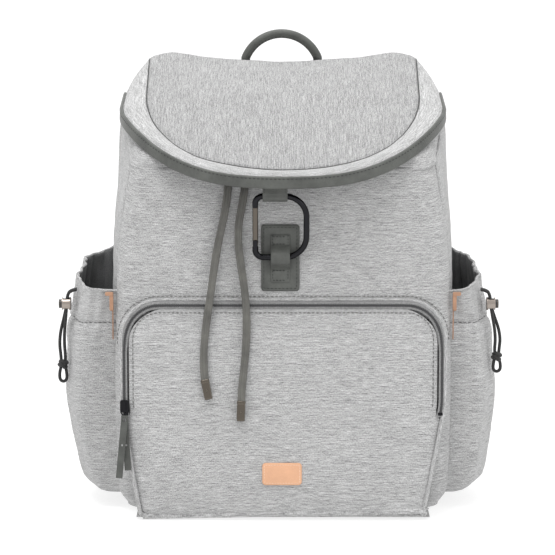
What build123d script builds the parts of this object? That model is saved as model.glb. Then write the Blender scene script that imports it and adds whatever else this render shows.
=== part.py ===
"""A backpack-style diaper bag: a padded fabric body with a flap lid, a zipped front pocket,
two gathered side pockets, leather trim, a clip closure, drawstrings, a grab handle and two
shoulder straps.

Frame: millimetres, +Z up, the front faces -Y, and the origin is on the floor under the
middle of the body. Every sub-part is written to parts/NODE.step.
"""
import os
from math import cos, pi, radians, sin, tan

from build123d import *

# --- Body: (height, front half-width, front y, back half-width, back y) of the outer skin
BODY_LEVELS = [
    (0, 138, -50, 142, 62),
    (20, 153, -62, 157, 74),
    (225, 152, -60, 162, 76),
    (320, 138, -55, 161, 76),
    (362, 127, -52, 158, 76),
    (410, 116, -50, 130, 76),
]
BODY_CORNER = 20          # radius of the upright edges
WALL = 3                  # padded fabric wall
LINING = 1
BASE_TOP = 14             # the base panel reaches this high
FRONT_SEAM_Y = -38        # front and side panels meet here
BACK_SEAM_Y = 52          # back and side panels meet here
RIM_FRONT_Z = 322         # mouth rim above the front panel
RIM_RISE = 0.36           # rise of the rim per mm towards the back
RIM_FRONT_Y = -52
BACK_FLAP_TOP = 401       # the back panel carries on up to the lid
FAR = 400                 # past the bag in any direction

# --- Mouth casing with the drawstring inside
CASING_HEIGHT = 14
CASING_DEPTH = 5
CASING_SKIN = 1.2

# --- Lid
LID_HALF_WIDTH = 152
LID_FRONT_REACH = 120     # from where the curve starts to the lid's front
LID_CURVE_Y = 20          # the straight sides end here and the curve starts
LID_BACK_Y = 72.5
LID_SEAM_HALF_WIDTH = 128
LID_SEAM_REACH = 110
LID_SHELL = 3
BINDING_HEIGHT = 10
BINDING_IN = 4            # the binding reaches this far inside the lid's outline
BINDING_OUT = 1           # and this far outside it
LID_CENTRE = [(-100, 316), (-88, 324), (-65, 338), (-30, 362), (0, 381), (30, 395), (75, 409)]
LID_SEAM = [(-100, 317), (-88, 323), (-65, 333), (-30, 353), (10, 377), (40, 392), (75, 410)]
LID_STATION_ANGLES = [0, 13, 25, 37, 48, 58, 67, 75, 81]

# --- Clip closure
CLIP_ROD = 2.75
CLIP_LEFT, CLIP_RIGHT = -25.2, 21.2
CLIP_HALF_HEIGHT = 29.3
CLIP_TOP = (-80, 296)     # y and z of the clip's top bar
CLIP_LEAN = 12.5          # degrees that the clip leans from upright towards the bag
GATE_PIVOT = -16          # up the clip from its middle
GATE_TOP = 18.6
GATE_ROD = 2.6
NOSE = 19                 # the frame's two ends, up and down from the middle
FORK_TOP = -12.5
FORK_SLOT = 1.75
RIVET = 0.75
RIVET_PLAY = 0.05

# --- Lid loop, patch and catch strap
LOOP_X = (-18.5, 4)
PATCH_X, PATCH_Z = (-20, 15), (207, 268)
LEATHER = 2.2
STRAP_X = (-11, 6)
STRAP_THICK = 1.6

# --- Front pocket
POCKET_OUTLINE = [(-131, 1.5), (131, 1.5), (149, 105), (150, 200), (-150, 200), (-149, 105)]
POCKET_LOW_CORNER = 8
POCKET_TOP_CORNER = 36
POCKET_PROFILE = [(-40, 0), (-91, 0), (-95, 12), (-93, 46), (-66, 197), (-58, 203), (-40, 203)]
POCKET_SKIN = 2.5
TAPE_WIDTH = 6.5
TEETH_IN = (4.5, 7)       # the teeth's band, measured in from the pocket's outline
TEETH_PROUD = 1.2
ZIP_BOTTOM = 98
SLIDER = (-144.2, -83.2, 104)  # middle of the zipper's left leg where the slider rests
FACE_OUT = (0, -0.984, 0.176)  # outward from the pocket's sloping face

RING_HINGE = (-1.4, 5.4)  # where the ring hangs in the slider's bridge: along and out from the face

# --- Side pockets: (height, outward reach) of the outer skin, and the rim
SIDE_REACH = {
    "left": [(25, 181), (36, 190), (54, 198), (107, 206), (160, 202), (207, 195), (232, 191)],
    "right": [(25, 176), (36, 187), (54, 193), (107, 201), (160, 195), (207, 187), (232, 183)],
}
SIDE_SIGN = {"left": -1, "right": 1}
HEM_Z = 172
HEM_TOP_FRONT = 205       # the hem's rim rises towards the back
HEM_TOP_RISE = 0.18
RIM_LEVEL = 5             # the level in SIDE_REACH that the cord's places are measured from
SIDE_SKIN = 2.5

# --- Elastic cord of a side pocket: (outward from the rim, y, z)
ELASTIC = 3
ELASTIC_ROUTE = [
    (-3.5, 2.3, 203), (2.5, 2.3, 202), (5.2, 2.3, 197.5), (6, 2.3, 188.5), (8.8, 2.1, 176), (12.2, 1.7, 163),
    (13.2, 1.2, 151), (12, 0.5, 141), (11.4, 0.1, 132), (13.2, 0, 125), (13.4, 0, 119.6), (12.2, 0.1, 116.8),
    (9.9, 0.1, 115.8), (7.6, 0.1, 116.8), (6.4, 0, 119.6), (6.8, 0, 125), (8.1, -0.1, 132), (7.6, -0.7, 141),
    (8.4, -1.3, 151), (8.2, -1.8, 163), (6.8, -2.2, 176), (5.7, -2.3, 188.5), (5.1, -2.3, 197.5),
    (2.4, -2.3, 202), (-3.5, -2.3, 203),
]
ELASTIC_DROP = {"left": (1, 0), "right": (0.87, 2.4)}  # share of the hang, and how far further out
CORD_Y = -24              # where the loop hangs, forward of the pocket's widest place
KNOT = (9.8, 132.5)       # outward from the rim, and height
KNOT_RADIUS, KNOT_WIDTH, KNOT_ROUND = 5.5, 8.4, 2
LOCK_Z = 189.5
LOCK_RADIUS = 6
LOCK_DEPTH = 8

# --- Drawstrings
DRAWSTRING = 5
DRAWSTRING_ROUTES = {
    "left": [
        (-50, -59.3, 303.6), (-51.3, -62.6, 288), (-55, -65.2, 270), (-59.5, -66, 250), (-63, -68, 228),
        (-66, -72.5, 205), (-69.5, -76.8, 183), (-72, -80.5, 160), (-72.3, -84.5, 141), (-71, -87.3, 128),
    ],
    "right": [
        (-34.5, -59.3, 303.6), (-36.8, -62.6, 288), (-40.5, -65.2, 270), (-41, -66, 250), (-38, -68.2, 229),
        (-34.5, -72.6, 206), (-33, -76.8, 184), (-33.5, -80.8, 161), (-35.6, -85, 138), (-37.6, -88.6, 121),
        (-38, -91, 109),
    ],
}
TIP_ENDS = {"left": (-67.5, -90.3, 111.5), "right": (-38.6, -94, 92)}
TIP_SIZE = (7, 3.8)

# --- Handle
HANDLE_Y, HANDLE_Z = 86, 413
HANDLE_LEFT, HANDLE_RIGHT = -36.8, 34.6
HANDLE_RISE = 24
HANDLE_ROD = 3.7
HANDLE_CORE = 2
HINGE_GAP = 0.4

# --- Back
PAD_Z = (45, 352)
STRAP_TOP_Z = 384
STRAP_INNER_Y = 88.5
STRAP_PAD = 9


def level_at(z):
    """The body's outline sizes at one height."""
    for low, high in zip(BODY_LEVELS, BODY_LEVELS[1:]):
        if z <= high[0]:
            share = (z - low[0]) / (high[0] - low[0])
            return [a + share * (b - a) for a, b in zip(low[1:], high[1:])]
    return list(BODY_LEVELS[-1][1:])


def height_at(table, y):
    """Straight-line reading of a (y, z) table."""
    for (y0, z0), (y1, z1) in zip(table, table[1:]):
        if y <= y1:
            return z0 + (z1 - z0) * (y - y0) / (y1 - y0)
    return table[-1][1]


def rounded(points, radius, plane=Plane.XY):
    outline = Polygon(*points, align=None)
    return plane * fillet(outline.vertices(), radius)


def body(grow=0, bottom=0):
    """The body's outer form, grown outwards by grow, from a height upwards."""
    sections = []
    for z in [bottom] + [level[0] for level in BODY_LEVELS if level[0] > bottom]:
        front, front_y, back, back_y = level_at(z)
        left_front = (-front - grow, front_y - grow)
        right_front = (front + grow, front_y - grow)
        right_back = (back + grow, back_y + grow)
        left_back = (-back - grow, back_y + grow)
        points = [left_front, right_front, right_back, left_back]
        sections.append(rounded(points, BODY_CORNER + grow, Plane.XY.offset(z)))
    return loft(sections, ruled=True)


def across(points, x0=-FAR, x1=FAR):
    """A prism along X whose section is given as (y, z) points."""
    return extrude(Plane.YZ.offset(x0) * Polygon(*points, align=None), x1 - x0, dir=(1, 0, 0))


def along(face_points, y0, y1, radius=0):
    """A prism along Y whose section is given as (x, z) points."""
    plane = Plane((0, y1, 0), x_dir=(1, 0, 0), z_dir=(0, -1, 0))
    face = rounded(face_points, radius, plane) if radius else plane * Polygon(*face_points, align=None)
    return extrude(face, y1 - y0, dir=(0, -1, 0))


def block(x, y, z):
    """A box between two corners, given as ranges."""
    size = [b - a for a, b in (x, y, z)]
    middle = [(a + b) / 2 for a, b in (x, y, z)]
    return Pos(*middle) * Box(*size)


def rod(start, end, radius):
    start, end = Vector(*start), Vector(*end)
    return extrude(Plane(origin=start, z_dir=end - start) * Circle(radius), (end - start).length)


def bend_radii(points):
    """The largest bend at each corner that its two runs leave room for."""
    radii = []
    for a, b, c in zip(points, points[1:], points[2:]):
        before, after = Vector(*b) - Vector(*a), Vector(*c) - Vector(*b)
        half_turn = radians(before.get_angle(after)) / 2
        radii.append(0.45 * min(before.length, after.length) / tan(half_turn))
    return radii


def cord_tube(name, points, diameter):
    radii = bend_radii(points)
    path = FilletPolyline(*points, radius=radii)
    tube = sweep(Plane(origin=path @ 0, z_dir=path % 0) * Circle(diameter / 2), path=path)
    share = tube.volume / (pi * diameter**2 / 4 * path.length)
    print(f"{name}: {path.length:.0f} mm long, tightest radius {min(radii):.1f}, volume share {share:.3f}")
    return tube


def biggest(shape):
    """The largest solid of a cut, without the slivers beside it."""
    return max(shape.solids(), key=lambda solid: solid.volume)


def above_rim(down=0):
    """Everything above the tilted plane of the mouth's rim."""
    def rim(y):
        return RIM_FRONT_Z + RIM_RISE * (y - RIM_FRONT_Y) - down
    return across([(-FAR, rim(-FAR)), (FAR, rim(FAR)), (FAR, 3 * FAR), (-FAR, 3 * FAR)])


def body_panels():
    """Five panels of the body's wall; the back panel carries on up to the lid."""
    wall = body() - body(-WALL, WALL)
    flap = block((-FAR, FAR), (73, 80), (345, BACK_FLAP_TOP)) & body()
    ring = wall - above_rim()
    base = ring & block((-FAR, FAR), (-FAR, FAR), (-1, BASE_TOP))
    ring = ring & block((-FAR, FAR), (-FAR, FAR), (BASE_TOP, FAR))
    front = ring & block((-FAR, FAR), (-FAR, FRONT_SEAM_Y), (0, FAR))
    back = (ring & block((-FAR, FAR), (BACK_SEAM_Y, FAR), (0, FAR))) + flap
    middle = ring & block((-FAR, FAR), (FRONT_SEAM_Y, BACK_SEAM_Y), (0, FAR))
    left = middle & block((-FAR, 0), (-FAR, FAR), (0, FAR))
    right = middle & block((0, FAR), (-FAR, FAR), (0, FAR))
    return {"base_panel": base, "front_panel": front, "back_panel": back,
            "side_panel_left": left, "side_panel_right": right}


def inside_pieces():
    """The lining, the stiff board in the base, and a gathered pocket on the back wall."""
    floor = WALL + 2.5
    board = body(-WALL - 6, WALL) & block((-FAR, FAR), (-FAR, FAR), (WALL, floor))
    outside = -WALL - 0.1
    lining = body(outside, floor + 0.1) - body(outside - LINING, floor + LINING) - above_rim(1)
    pouch = block((-100, 100), (56, 70), (70, 200)) - block((-98, 98), (58, 80), (72, 210))
    elastic = block((-97.5, 97.5), (54, 55.7), (188, 198))
    return {"base_board": board, "lining": lining, "inner_pocket": pouch, "inner_pocket_elastic": elastic}


def mouth_casing():
    """A fabric tunnel round the front and sides of the mouth, with the drawstring in it."""
    def band(outer, inner, trim):
        whole = body(outer) - body(inner)
        return (whole - above_rim(trim)) & above_rim(CASING_HEIGHT - trim)
    front_and_sides = block((-FAR, FAR), (-FAR, BACK_SEAM_Y), (0, FAR))
    tunnel = band(CASING_DEPTH - CASING_SKIN, CASING_SKIN, 3) & front_and_sides
    casing = (band(CASING_DEPTH, 0, 0) & front_and_sides) - tunnel
    run = band(CASING_DEPTH - CASING_SKIN - 0.3, CASING_SKIN + 0.3, 6) & front_and_sides
    return {"mouth_casing": casing, "drawstring_run": run}


def lid_stations(inset=0):
    """(y, half-width) down the lid: straight sides, then an elliptical front."""
    stations = [(LID_BACK_Y + 10 * (inset > 0), LID_HALF_WIDTH - inset), (45, LID_HALF_WIDTH - inset)]
    for angle in LID_STATION_ANGLES:
        y = LID_CURVE_Y - (LID_FRONT_REACH - inset) * sin(radians(angle))
        stations.append((y, (LID_HALF_WIDTH - inset) * cos(radians(angle))))
    return stations


def binding_foot(y):
    """Height of the binding's lower edge at one place along the lid."""
    side = min(1, max(0, 1 - ((LID_CURVE_Y - y) / LID_FRONT_REACH) ** 2)) if y < LID_CURVE_Y else 1
    return 305 + 52 * side**1.5 + 13 * max(0, y) / LID_BACK_Y


def lid_form(inset=0, drop=0):
    """The lid's closed outer form, inset all round."""
    sections = []
    for y, half in lid_stations(inset):
        foot = binding_foot(y) - drop
        edge = binding_foot(y) + BINDING_HEIGHT + 1 - inset
        reach = max(0, 1 - (max(0, LID_CURVE_Y - y) / LID_SEAM_REACH) ** 2) ** 0.5
        seam = min(0.93 * half, max(0.5 * half, LID_SEAM_HALF_WIDTH * reach))
        seam_z = max(edge, height_at(LID_SEAM, y) - inset)
        centre = max(edge, height_at(LID_CENTRE, y) - inset)
        shoulder = 0.9 * seam_z + 0.1 * centre + 4 * (seam / LID_SEAM_HALF_WIDTH)
        right = [(half, edge), (seam, seam_z), (0.75 * seam, shoulder), (0.3 * seam, (centre + shoulder) / 2)]
        left = [(-x, z) for x, z in reversed(right)]
        points = [(-half, foot), (half, foot)] + right + left
        plane = Plane((0, y, 0), x_dir=(1, 0, 0), z_dir=(0, -1, 0))
        sections.append(plane * Polygon(*points, align=None))
    return loft(sections, ruled=True)


def lid_ring(inset):
    """A low prism that follows the lid's lower edge, as tall as the binding."""
    sections = []
    for y, half in lid_stations(inset):
        foot = binding_foot(y)
        points = [(-half, foot), (half, foot), (half, foot + BINDING_HEIGHT), (-half, foot + BINDING_HEIGHT)]
        plane = Plane((0, y, 0), x_dir=(1, 0, 0), z_dir=(0, -1, 0))
        sections.append(plane * Polygon(*points, align=None))
    return loft(sections, ruled=True)


def seam_prism():
    """Upright prism over the lid's top panel."""
    curve = [(LID_SEAM_HALF_WIDTH + 3, LID_BACK_Y + 5)]
    for step in range(0, 19):
        angle = radians(5 * step)
        curve.append((LID_SEAM_HALF_WIDTH * cos(angle), LID_CURVE_Y - LID_SEAM_REACH * sin(angle)))
    mirrored = [(-x, y) for x, y in reversed(curve[:-1])]
    return extrude(Plane.XY.offset(250) * Polygon(*(curve + mirrored), align=None), 250, dir=(0, 0, 1))


def lid_pieces():
    outer, inner = lid_form(), lid_form(LID_SHELL, 30)
    behind = block((-FAR, FAR), (LID_BACK_Y, FAR), (0, 2 * FAR))
    binding = lid_ring(-BINDING_OUT) - lid_ring(BINDING_IN) - behind
    shell = outer - inner - binding
    lining = (inner - lid_form(LID_SHELL + LINING, 40)) - lid_ring(-BINDING_OUT) - behind
    top_zone = seam_prism()
    top = shell & top_zone
    band = shell - top_zone
    return {
        "lid_top_panel": top,
        "lid_band": biggest(band),
        "lid_binding": binding,
        "lid_lining": biggest(lining),
    }


def clip_plane():
    """The clip's own plane: local x is across the bag and local y is up the clip."""
    lean = radians(CLIP_LEAN)
    up = Vector(0, -sin(lean), cos(lean))
    top = Vector(0, *CLIP_TOP)
    middle = top - up * CLIP_HALF_HEIGHT
    return Plane(origin=middle, x_dir=(1, 0, 0), z_dir=Vector(1, 0, 0).cross(up))


def clip_pieces():
    """A D-shaped spring clip: frame with a forked end, gate, and the rivet that it turns on."""
    plane = clip_plane()
    left, right, half = CLIP_LEFT, CLIP_RIGHT, CLIP_HALF_HEIGHT
    lower = [(left, -NOSE, 0), (left, -half, 0), (right, -half, 0)]
    upper = [(right, half, 0), (left, half, 0), (left, NOSE, 0)]
    path = FilletPolyline(*lower, *upper, radius=[7, 20, 20, 7])
    bow = sweep(Plane(origin=path @ 0, z_dir=path % 0) * Circle(CLIP_ROD), path=path)
    fork = rod((left, -NOSE, 0), (left, FORK_TOP, 0), CLIP_ROD)
    fork -= Pos(left, -NOSE + 10.01, 0) * Box(10, 20, 2 * FORK_SLOT)
    rivet = rod((left, GATE_PIVOT, -CLIP_ROD), (left, GATE_PIVOT, CLIP_ROD), RIVET)
    frame = bow + fork - rivet
    tongue = rod((left, GATE_PIVOT, 0), (left, -11, 0), GATE_ROD) + rod(
        (left, GATE_PIVOT, -GATE_ROD), (left, GATE_PIVOT, GATE_ROD), GATE_ROD
    )
    tongue &= Pos(left, GATE_PIVOT, 0) * Box(10, 30, 2 * (FORK_SLOT - 0.15))
    gate = tongue + rod((left, -11, 0), (left, GATE_TOP, 0), GATE_ROD)
    gate -= rod((left, GATE_PIVOT, -CLIP_ROD), (left, GATE_PIVOT, CLIP_ROD), RIVET + RIVET_PLAY)
    return {"clip_frame": plane * frame, "clip_gate": plane * gate, "clip_rivet": plane * rivet}


def lid_loop(binding):
    """A folded leather strap from the binding's inside, round the clip's top bar."""
    y, z = CLIP_TOP
    inner, outer = CLIP_ROD + 0.8, CLIP_ROD + 2.4
    ring = Plane.YZ.offset(LOOP_X[0]) * Pos(y, z) * (Circle(outer) - Circle(inner))
    band = extrude(ring, LOOP_X[1] - LOOP_X[0])
    arm = across([(y - 2.4, z + 3.8), (y - 4.2, z + 1.2), (-98, 309), (-98, 314)], *LOOP_X)
    bore = rod((LOOP_X[0] - 1, y, z), (LOOP_X[1] + 1, y, z), inner)
    return band + (arm - bore) - binding


def applique(x, z, thick):
    """A patch of an even thickness on the body's front."""
    return (body(thick) - body()) & block(x, (-FAR, FRONT_SEAM_Y), z)


def catch_strap(patch):
    """The strap that holds the clip: sewn flat at both ends and raised in between."""
    front_edge = [(-61.8, 258), (-63.4, 250), (-72.4, 243), (-72.8, 233), (-64, 226), (-64.2, 216)]
    outline = [(-50, 258), *front_edge, (-50, 216)]
    hollow = [(-50, 248.6), (-62.3, 248.6), (-70.8, 242.2), (-71.2, 233.8), (-62.9, 227.6), (-50, 227.6)]
    solid = across(outline, *STRAP_X) - across(hollow, *STRAP_X)
    return solid - patch - body()


def pocket_outline(inset):
    plane = Plane((0, 0, 0), x_dir=(1, 0, 0), z_dir=(0, -1, 0))
    outline = Polygon(*POCKET_OUTLINE, align=None)
    top = [v for v in outline.vertices() if v.Y > ZIP_BOTTOM + 50]
    outline = fillet(top, POCKET_TOP_CORNER)
    low = [v for v in outline.vertices() if v.Y < ZIP_BOTTOM / 2]
    face = plane * fillet(low, POCKET_LOW_CORNER)
    if inset:
        face = offset(face, -inset, kind=Kind.INTERSECTION)
    return extrude(face, 130, dir=(0, -1, 0))


def pocket_profile(inset):
    if inset == 0:
        return across(POCKET_PROFILE)
    face = Plane.YZ.offset(-FAR) * Polygon(*POCKET_PROFILE, align=None)
    return extrude(offset(face, -inset, kind=Kind.INTERSECTION), 2 * FAR, dir=(1, 0, 0))


def front_pocket():
    """The zipped pocket: gusset, zipper tape, raised teeth, and the front panel."""
    outline, profile = pocket_outline(0), pocket_profile(0)
    hull = outline & profile
    skin = hull - pocket_profile(POCKET_SKIN)
    gusset = hull - pocket_outline(POCKET_SKIN) - body()
    above = block((-FAR, FAR), (-FAR, 0), (ZIP_BOTTOM, FAR))
    tape_outline = pocket_outline(POCKET_SKIN) - pocket_outline(POCKET_SKIN + TAPE_WIDTH)
    tape = (skin & tape_outline & above) - body()
    panel = (skin & pocket_outline(POCKET_SKIN)) - tape - body()
    raised = (pocket_profile(-TEETH_PROUD) - profile) & above
    teeth = raised & (pocket_outline(TEETH_IN[0]) - pocket_outline(TEETH_IN[1])) - body()
    return {"pocket_gusset": gusset, "zipper_tape": tape, "pocket_panel": panel, "zipper_teeth": teeth}


def zip_pull_pieces():
    """The slider on the zipper's left leg, its ring, and two leather tails on the ring."""
    face = Plane(SLIDER, x_dir=(1, 0, 0), z_dir=FACE_OUT)
    slab = Pos(0, 0, 2.8) * fillet(Box(8.4, 11, 2.8).edges().filter_by(Axis.Z), 1.6)
    bridge = Pos(0, 0, 5.9) * (Box(2.4, 8, 3.4) - Pos(0, 0, -0.5) * Box(3, 5, 2))
    ring = Pos(0, RING_HINGE[0] - 3.3, RING_HINGE[1] - 0.5) * extrude(Circle(3.9) - Circle(2.9), 1)
    tails = []
    for lean, length, depth in [(4, 50, 3.2), (-5, 57, 7.2)]:
        strip = Pos(0, 4 - length / 2, 0) * Box(6, length, 1.6) - Cylinder(1.9, 4)
        strip -= Pos(0, -23, 0) * Cylinder(0.9, 4)
        tails.append(face * Pos(0, RING_HINGE[0] - 11, depth) * Rot(0, 0, lean) * strip)
    return {
        "zip_slider": face * (slab + bridge),
        "zip_ring": face * ring,
        "zip_tail_short": tails[0],
        "zip_tail_long": tails[1],
    }


def label():
    """A blank leather label on the pocket's front."""
    plate = along([(-19, 34), (17, 34), (17, 54), (-19, 54)], -120, -60, 3)
    return {"label": (pocket_profile(-1.4) - pocket_profile(0)) & plate}


def side_section(side, z, reach, inset):
    sign = SIDE_SIGN[side]
    points = [
        (120, -50 + inset), (reach - 14 - inset, -47 + inset), (reach - inset, -6),
        (reach - 3 - inset, 46), (reach - 15 - inset, 66 - inset), (120, 70 - inset),
    ]
    outline = Polygon(*[(sign * x, y) for x, y in points], align=None)
    corners = [v for v in outline.vertices() if abs(v.X) > 130]
    return Plane.XY.offset(z) * fillet(corners, 9 - inset)


def side_form(side, inset=0):
    levels = SIDE_REACH[side]
    if inset:
        low, high = levels[0], levels[-1]
        levels = [(low[0] + inset, low[1] + 2)] + levels[1:-1] + [(high[0] + 8, high[1] - 1)]
    return loft([side_section(side, z, reach, inset) for z, reach in levels], ruled=True)


def side_pocket(side):
    """A gathered pocket: its bulging wall and the hem with the elastic in it."""
    rim = [(y, HEM_TOP_FRONT + HEM_TOP_RISE * (y + 50)) for y in (-FAR, FAR)]
    shell = side_form(side) - side_form(side, SIDE_SKIN) - body() - across(rim + [(FAR, FAR), (-FAR, FAR)])
    low = block((-FAR, FAR), (-FAR, FAR), (0, HEM_Z))
    return {f"side_pocket_{side}": biggest(shell & low), f"side_pocket_hem_{side}": biggest(shell - low)}


def pocket_tab(side):
    """A small leather tab that covers the front end of a side pocket's hem."""
    sign = SIDE_SIGN[side]
    tab = Pos(sign * 159.4, -52.5, 195.5) * fillet(Box(7, 4, 17).edges().filter_by(Axis.Y), 2)
    return tab - body() - side_form(side)


def hang_place(side, sign, rim, out, y, z):
    """A place on the hanging loop, from its distance beyond the rim and its height."""
    share, lean = ELASTIC_DROP[side]
    below = max(0, LOCK_Z - 1 - z)
    out += lean * min(1, below / 40)
    return sign * (rim + out), CORD_Y + y, z + below * (1 - share)


def elastic_pieces(side):
    """The elastic cord's free loop with its knot, and the spring lock that grips it."""
    sign, rim = SIDE_SIGN[side], SIDE_REACH[side][RIM_LEVEL][1] + 0.6
    cord_x = rim + 6
    inner, outer = sign * (cord_x - LOCK_DEPTH / 2), sign * (cord_x + LOCK_DEPTH / 2)
    route = [hang_place(side, sign, rim, *place) for place in ELASTIC_ROUTE]
    cord = cord_tube(f"elastic_cord_{side}", route, ELASTIC)
    ball = fillet(Cylinder(KNOT_RADIUS, KNOT_WIDTH).edges(), KNOT_ROUND)
    knot = Pos(*hang_place(side, sign, rim, KNOT[0], 0, KNOT[1])) * Rot(90, 0, 0) * ball - cord
    barrel = rod((inner, CORD_Y, LOCK_Z), (outer, CORD_Y, LOCK_Z), LOCK_RADIUS)
    barrel -= rod((sign * (cord_x - 2.2), CORD_Y, LOCK_Z), (outer + sign, CORD_Y, LOCK_Z), 4.4)
    window = sorted([sign * (cord_x - 2.4), sign * (cord_x + 3.4)])
    barrel -= block(window, (CORD_Y - 4.2, CORD_Y + 4.2), (LOCK_Z - 8, LOCK_Z + 8))
    button = rod((sign * (cord_x + 2.5), CORD_Y, LOCK_Z), (sign * (cord_x + 7), CORD_Y, LOCK_Z), 4.1)
    return {
        f"elastic_cord_{side}": cord,
        f"cord_knot_{side}": knot,
        f"cord_lock_body_{side}": barrel,
        f"cord_lock_button_{side}": button,
    }


def drawstring_pieces():
    """The two hanging ends of the mouth's drawstring, with their metal tips."""
    pieces = {}
    for side, route in DRAWSTRING_ROUTES.items():
        pieces[f"drawstring_{side}"] = cord_tube(f"drawstring_{side}", route, DRAWSTRING)
        start, end = Vector(*route[-1]), Vector(*TIP_ENDS[side])
        plane = Plane(origin=start, x_dir=(1, 0, 0), z_dir=end - start)
        tip = extrude(plane * RectangleRounded(*TIP_SIZE, 1), (end - start).length)
        pieces[f"drawstring_tip_{side}"] = tip - pieces[f"drawstring_{side}"]
    return pieces


def handle_pieces():
    """A rolled leather handle round a rope core, and the leather anchor that it turns in."""
    middle = (HANDLE_LEFT + HANDLE_RIGHT) / 2
    legs = (HANDLE_LEFT, HANDLE_Y, HANDLE_Z), (HANDLE_RIGHT, HANDLE_Y, HANDLE_Z)
    arc = ThreePointArc(legs[0], (middle, HANDLE_Y, HANDLE_Z + HANDLE_RISE), legs[1])
    start = Plane(origin=arc @ 0, z_dir=arc % 0)
    ends = Pos(*legs[0]) * Sphere(HANDLE_ROD) + Pos(*legs[1]) * Sphere(HANDLE_ROD)
    core = sweep(start * Circle(HANDLE_CORE), path=arc)
    skin = sweep(start * Circle(HANDLE_ROD), path=arc) + ends - core
    top = HANDLE_Z - HANDLE_ROD - HINGE_GAP
    anchor = block((HANDLE_LEFT - 6, HANDLE_RIGHT + 6), (76, 78.5), (386, 400))
    for x, _, _ in legs:
        anchor += block((x - 5, x + 5), (76, 90), (388, 400)) + block((x - 5, x + 5), (81.5, 90), (400, top))
    return {"handle": skin, "handle_core": core, "handle_anchor": anchor}


def shoulder_strap(side):
    """A padded strap, its anchor at the top, adjuster, webbing and lower anchor."""
    sign = SIDE_SIGN[side]
    inner = STRAP_INNER_Y
    line = [
        (86, STRAP_TOP_Z - 1), (inner, STRAP_TOP_Z - 22), (inner + 3, 300), (inner + 3, 180), (inner, 120),
        (inner + STRAP_PAD - 3, 118), (inner + STRAP_PAD + 3, 180), (inner + STRAP_PAD + 3, 300),
        (inner + STRAP_PAD, STRAP_TOP_Z - 14), (inner + 3, STRAP_TOP_Z - 1),
    ]
    slab = across(line)
    plan = [(28, 400), (84, 400), (92, 300), (104, 200), (116, 110), (66, 110), (46, 200), (32, 300)]
    shape = along([(sign * x, z) for x, z in plan], 60, 120)
    pad = slab & shape
    centre = sign * 91
    adjuster = block((centre - 17, centre + 17), (inner + 1, inner + 7), (96, 117.5))
    adjuster -= block((centre - 13, centre + 13), (inner, inner + 8), (100, 104))
    adjuster -= block((centre - 13, centre + 13), (inner, inner + 8), (107, 111))
    hang = [(inner + 2, 95.8), (inner + 4, 95.8), (inner + 2, 44), (84.6, 38.2), (82.6, 38.2), (inner, 45)]
    low = centre + sign * 22
    tape = [(centre - 12, 96), (centre + 12, 96), (low + 12, 38), (low - 12, 38)]
    webbing = across(hang) & along(tape, 60, 120)
    foot = along([(sign * 92, 16), (sign * 134, 16), (sign * 128, 38), (sign * 98, 38)], 76, 82)
    foot = foot - body()
    anchor = block((sign * 56 - 28, sign * 56 + 28), (76, 85.4), (376, STRAP_TOP_Z)) - body()
    return {
        f"shoulder_strap_{side}": pad,
        f"strap_adjuster_{side}": adjuster,
        f"strap_webbing_{side}": webbing,
    }, foot, anchor


def back_pad():
    """The padded panel that rests on the wearer's back, in two cushions."""
    low, high = PAD_Z
    middle = (low + high) / 2
    upper = along([(-112, middle + 3), (112, middle + 3), (104, high), (-104, high)], 76, 87, 12)
    lower = along([(-112, low), (112, low), (112, middle - 3), (-112, middle - 3)], 76, 87, 12)
    return {"back_pad_upper": upper - body(), "back_pad_lower": lower - body()}


def build():
    nodes = {}
    nodes.update(body_panels())
    nodes.update(inside_pieces())
    nodes.update(mouth_casing())
    nodes.update(lid_pieces())
    nodes.update(clip_pieces())
    nodes["lid_loop"] = lid_loop(nodes["lid_binding"])
    nodes["catch_patch"] = applique(PATCH_X, PATCH_Z, LEATHER)
    nodes["catch_strap"] = catch_strap(nodes["catch_patch"])
    nodes.update(front_pocket())
    nodes.update(zip_pull_pieces())
    nodes.update(label())
    nodes.update(drawstring_pieces())
    nodes.update(handle_pieces())
    nodes.update(back_pad())
    feet, heads = [], []
    for side in ("left", "right"):
        nodes.update(side_pocket(side))
        nodes.update(elastic_pieces(side))
        strap, foot, head = shoulder_strap(side)
        nodes.update(strap)
        feet.append(foot)
        heads.append(head)
    nodes["strap_feet"] = Compound(children=[solid for foot in feet for solid in foot.solids()])
    nodes["strap_heads"] = Compound(children=[solid for head in heads for solid in head.solids()])
    tabs = [pocket_tab(side) for side in ("left", "right")]
    nodes["pocket_tabs"] = Compound(children=[solid for tab in tabs for solid in tab.solids()])
    return nodes


os.makedirs("parts", exist_ok=True)
for name, shape in build().items():
    shape.label = name
    export_step(shape, f"parts/{name}.step")
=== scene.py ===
"""The looks of a backpack-style diaper bag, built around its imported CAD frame.

Every length in this script is in millimetres until a mesh or curve is made, where MM turns it
into the frame's metres. The front of the bag faces -Y.
"""
from math import atan2, cos, pi, radians, sin, sqrt

import bpy
import numpy as np
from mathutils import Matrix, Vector, noise


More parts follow.
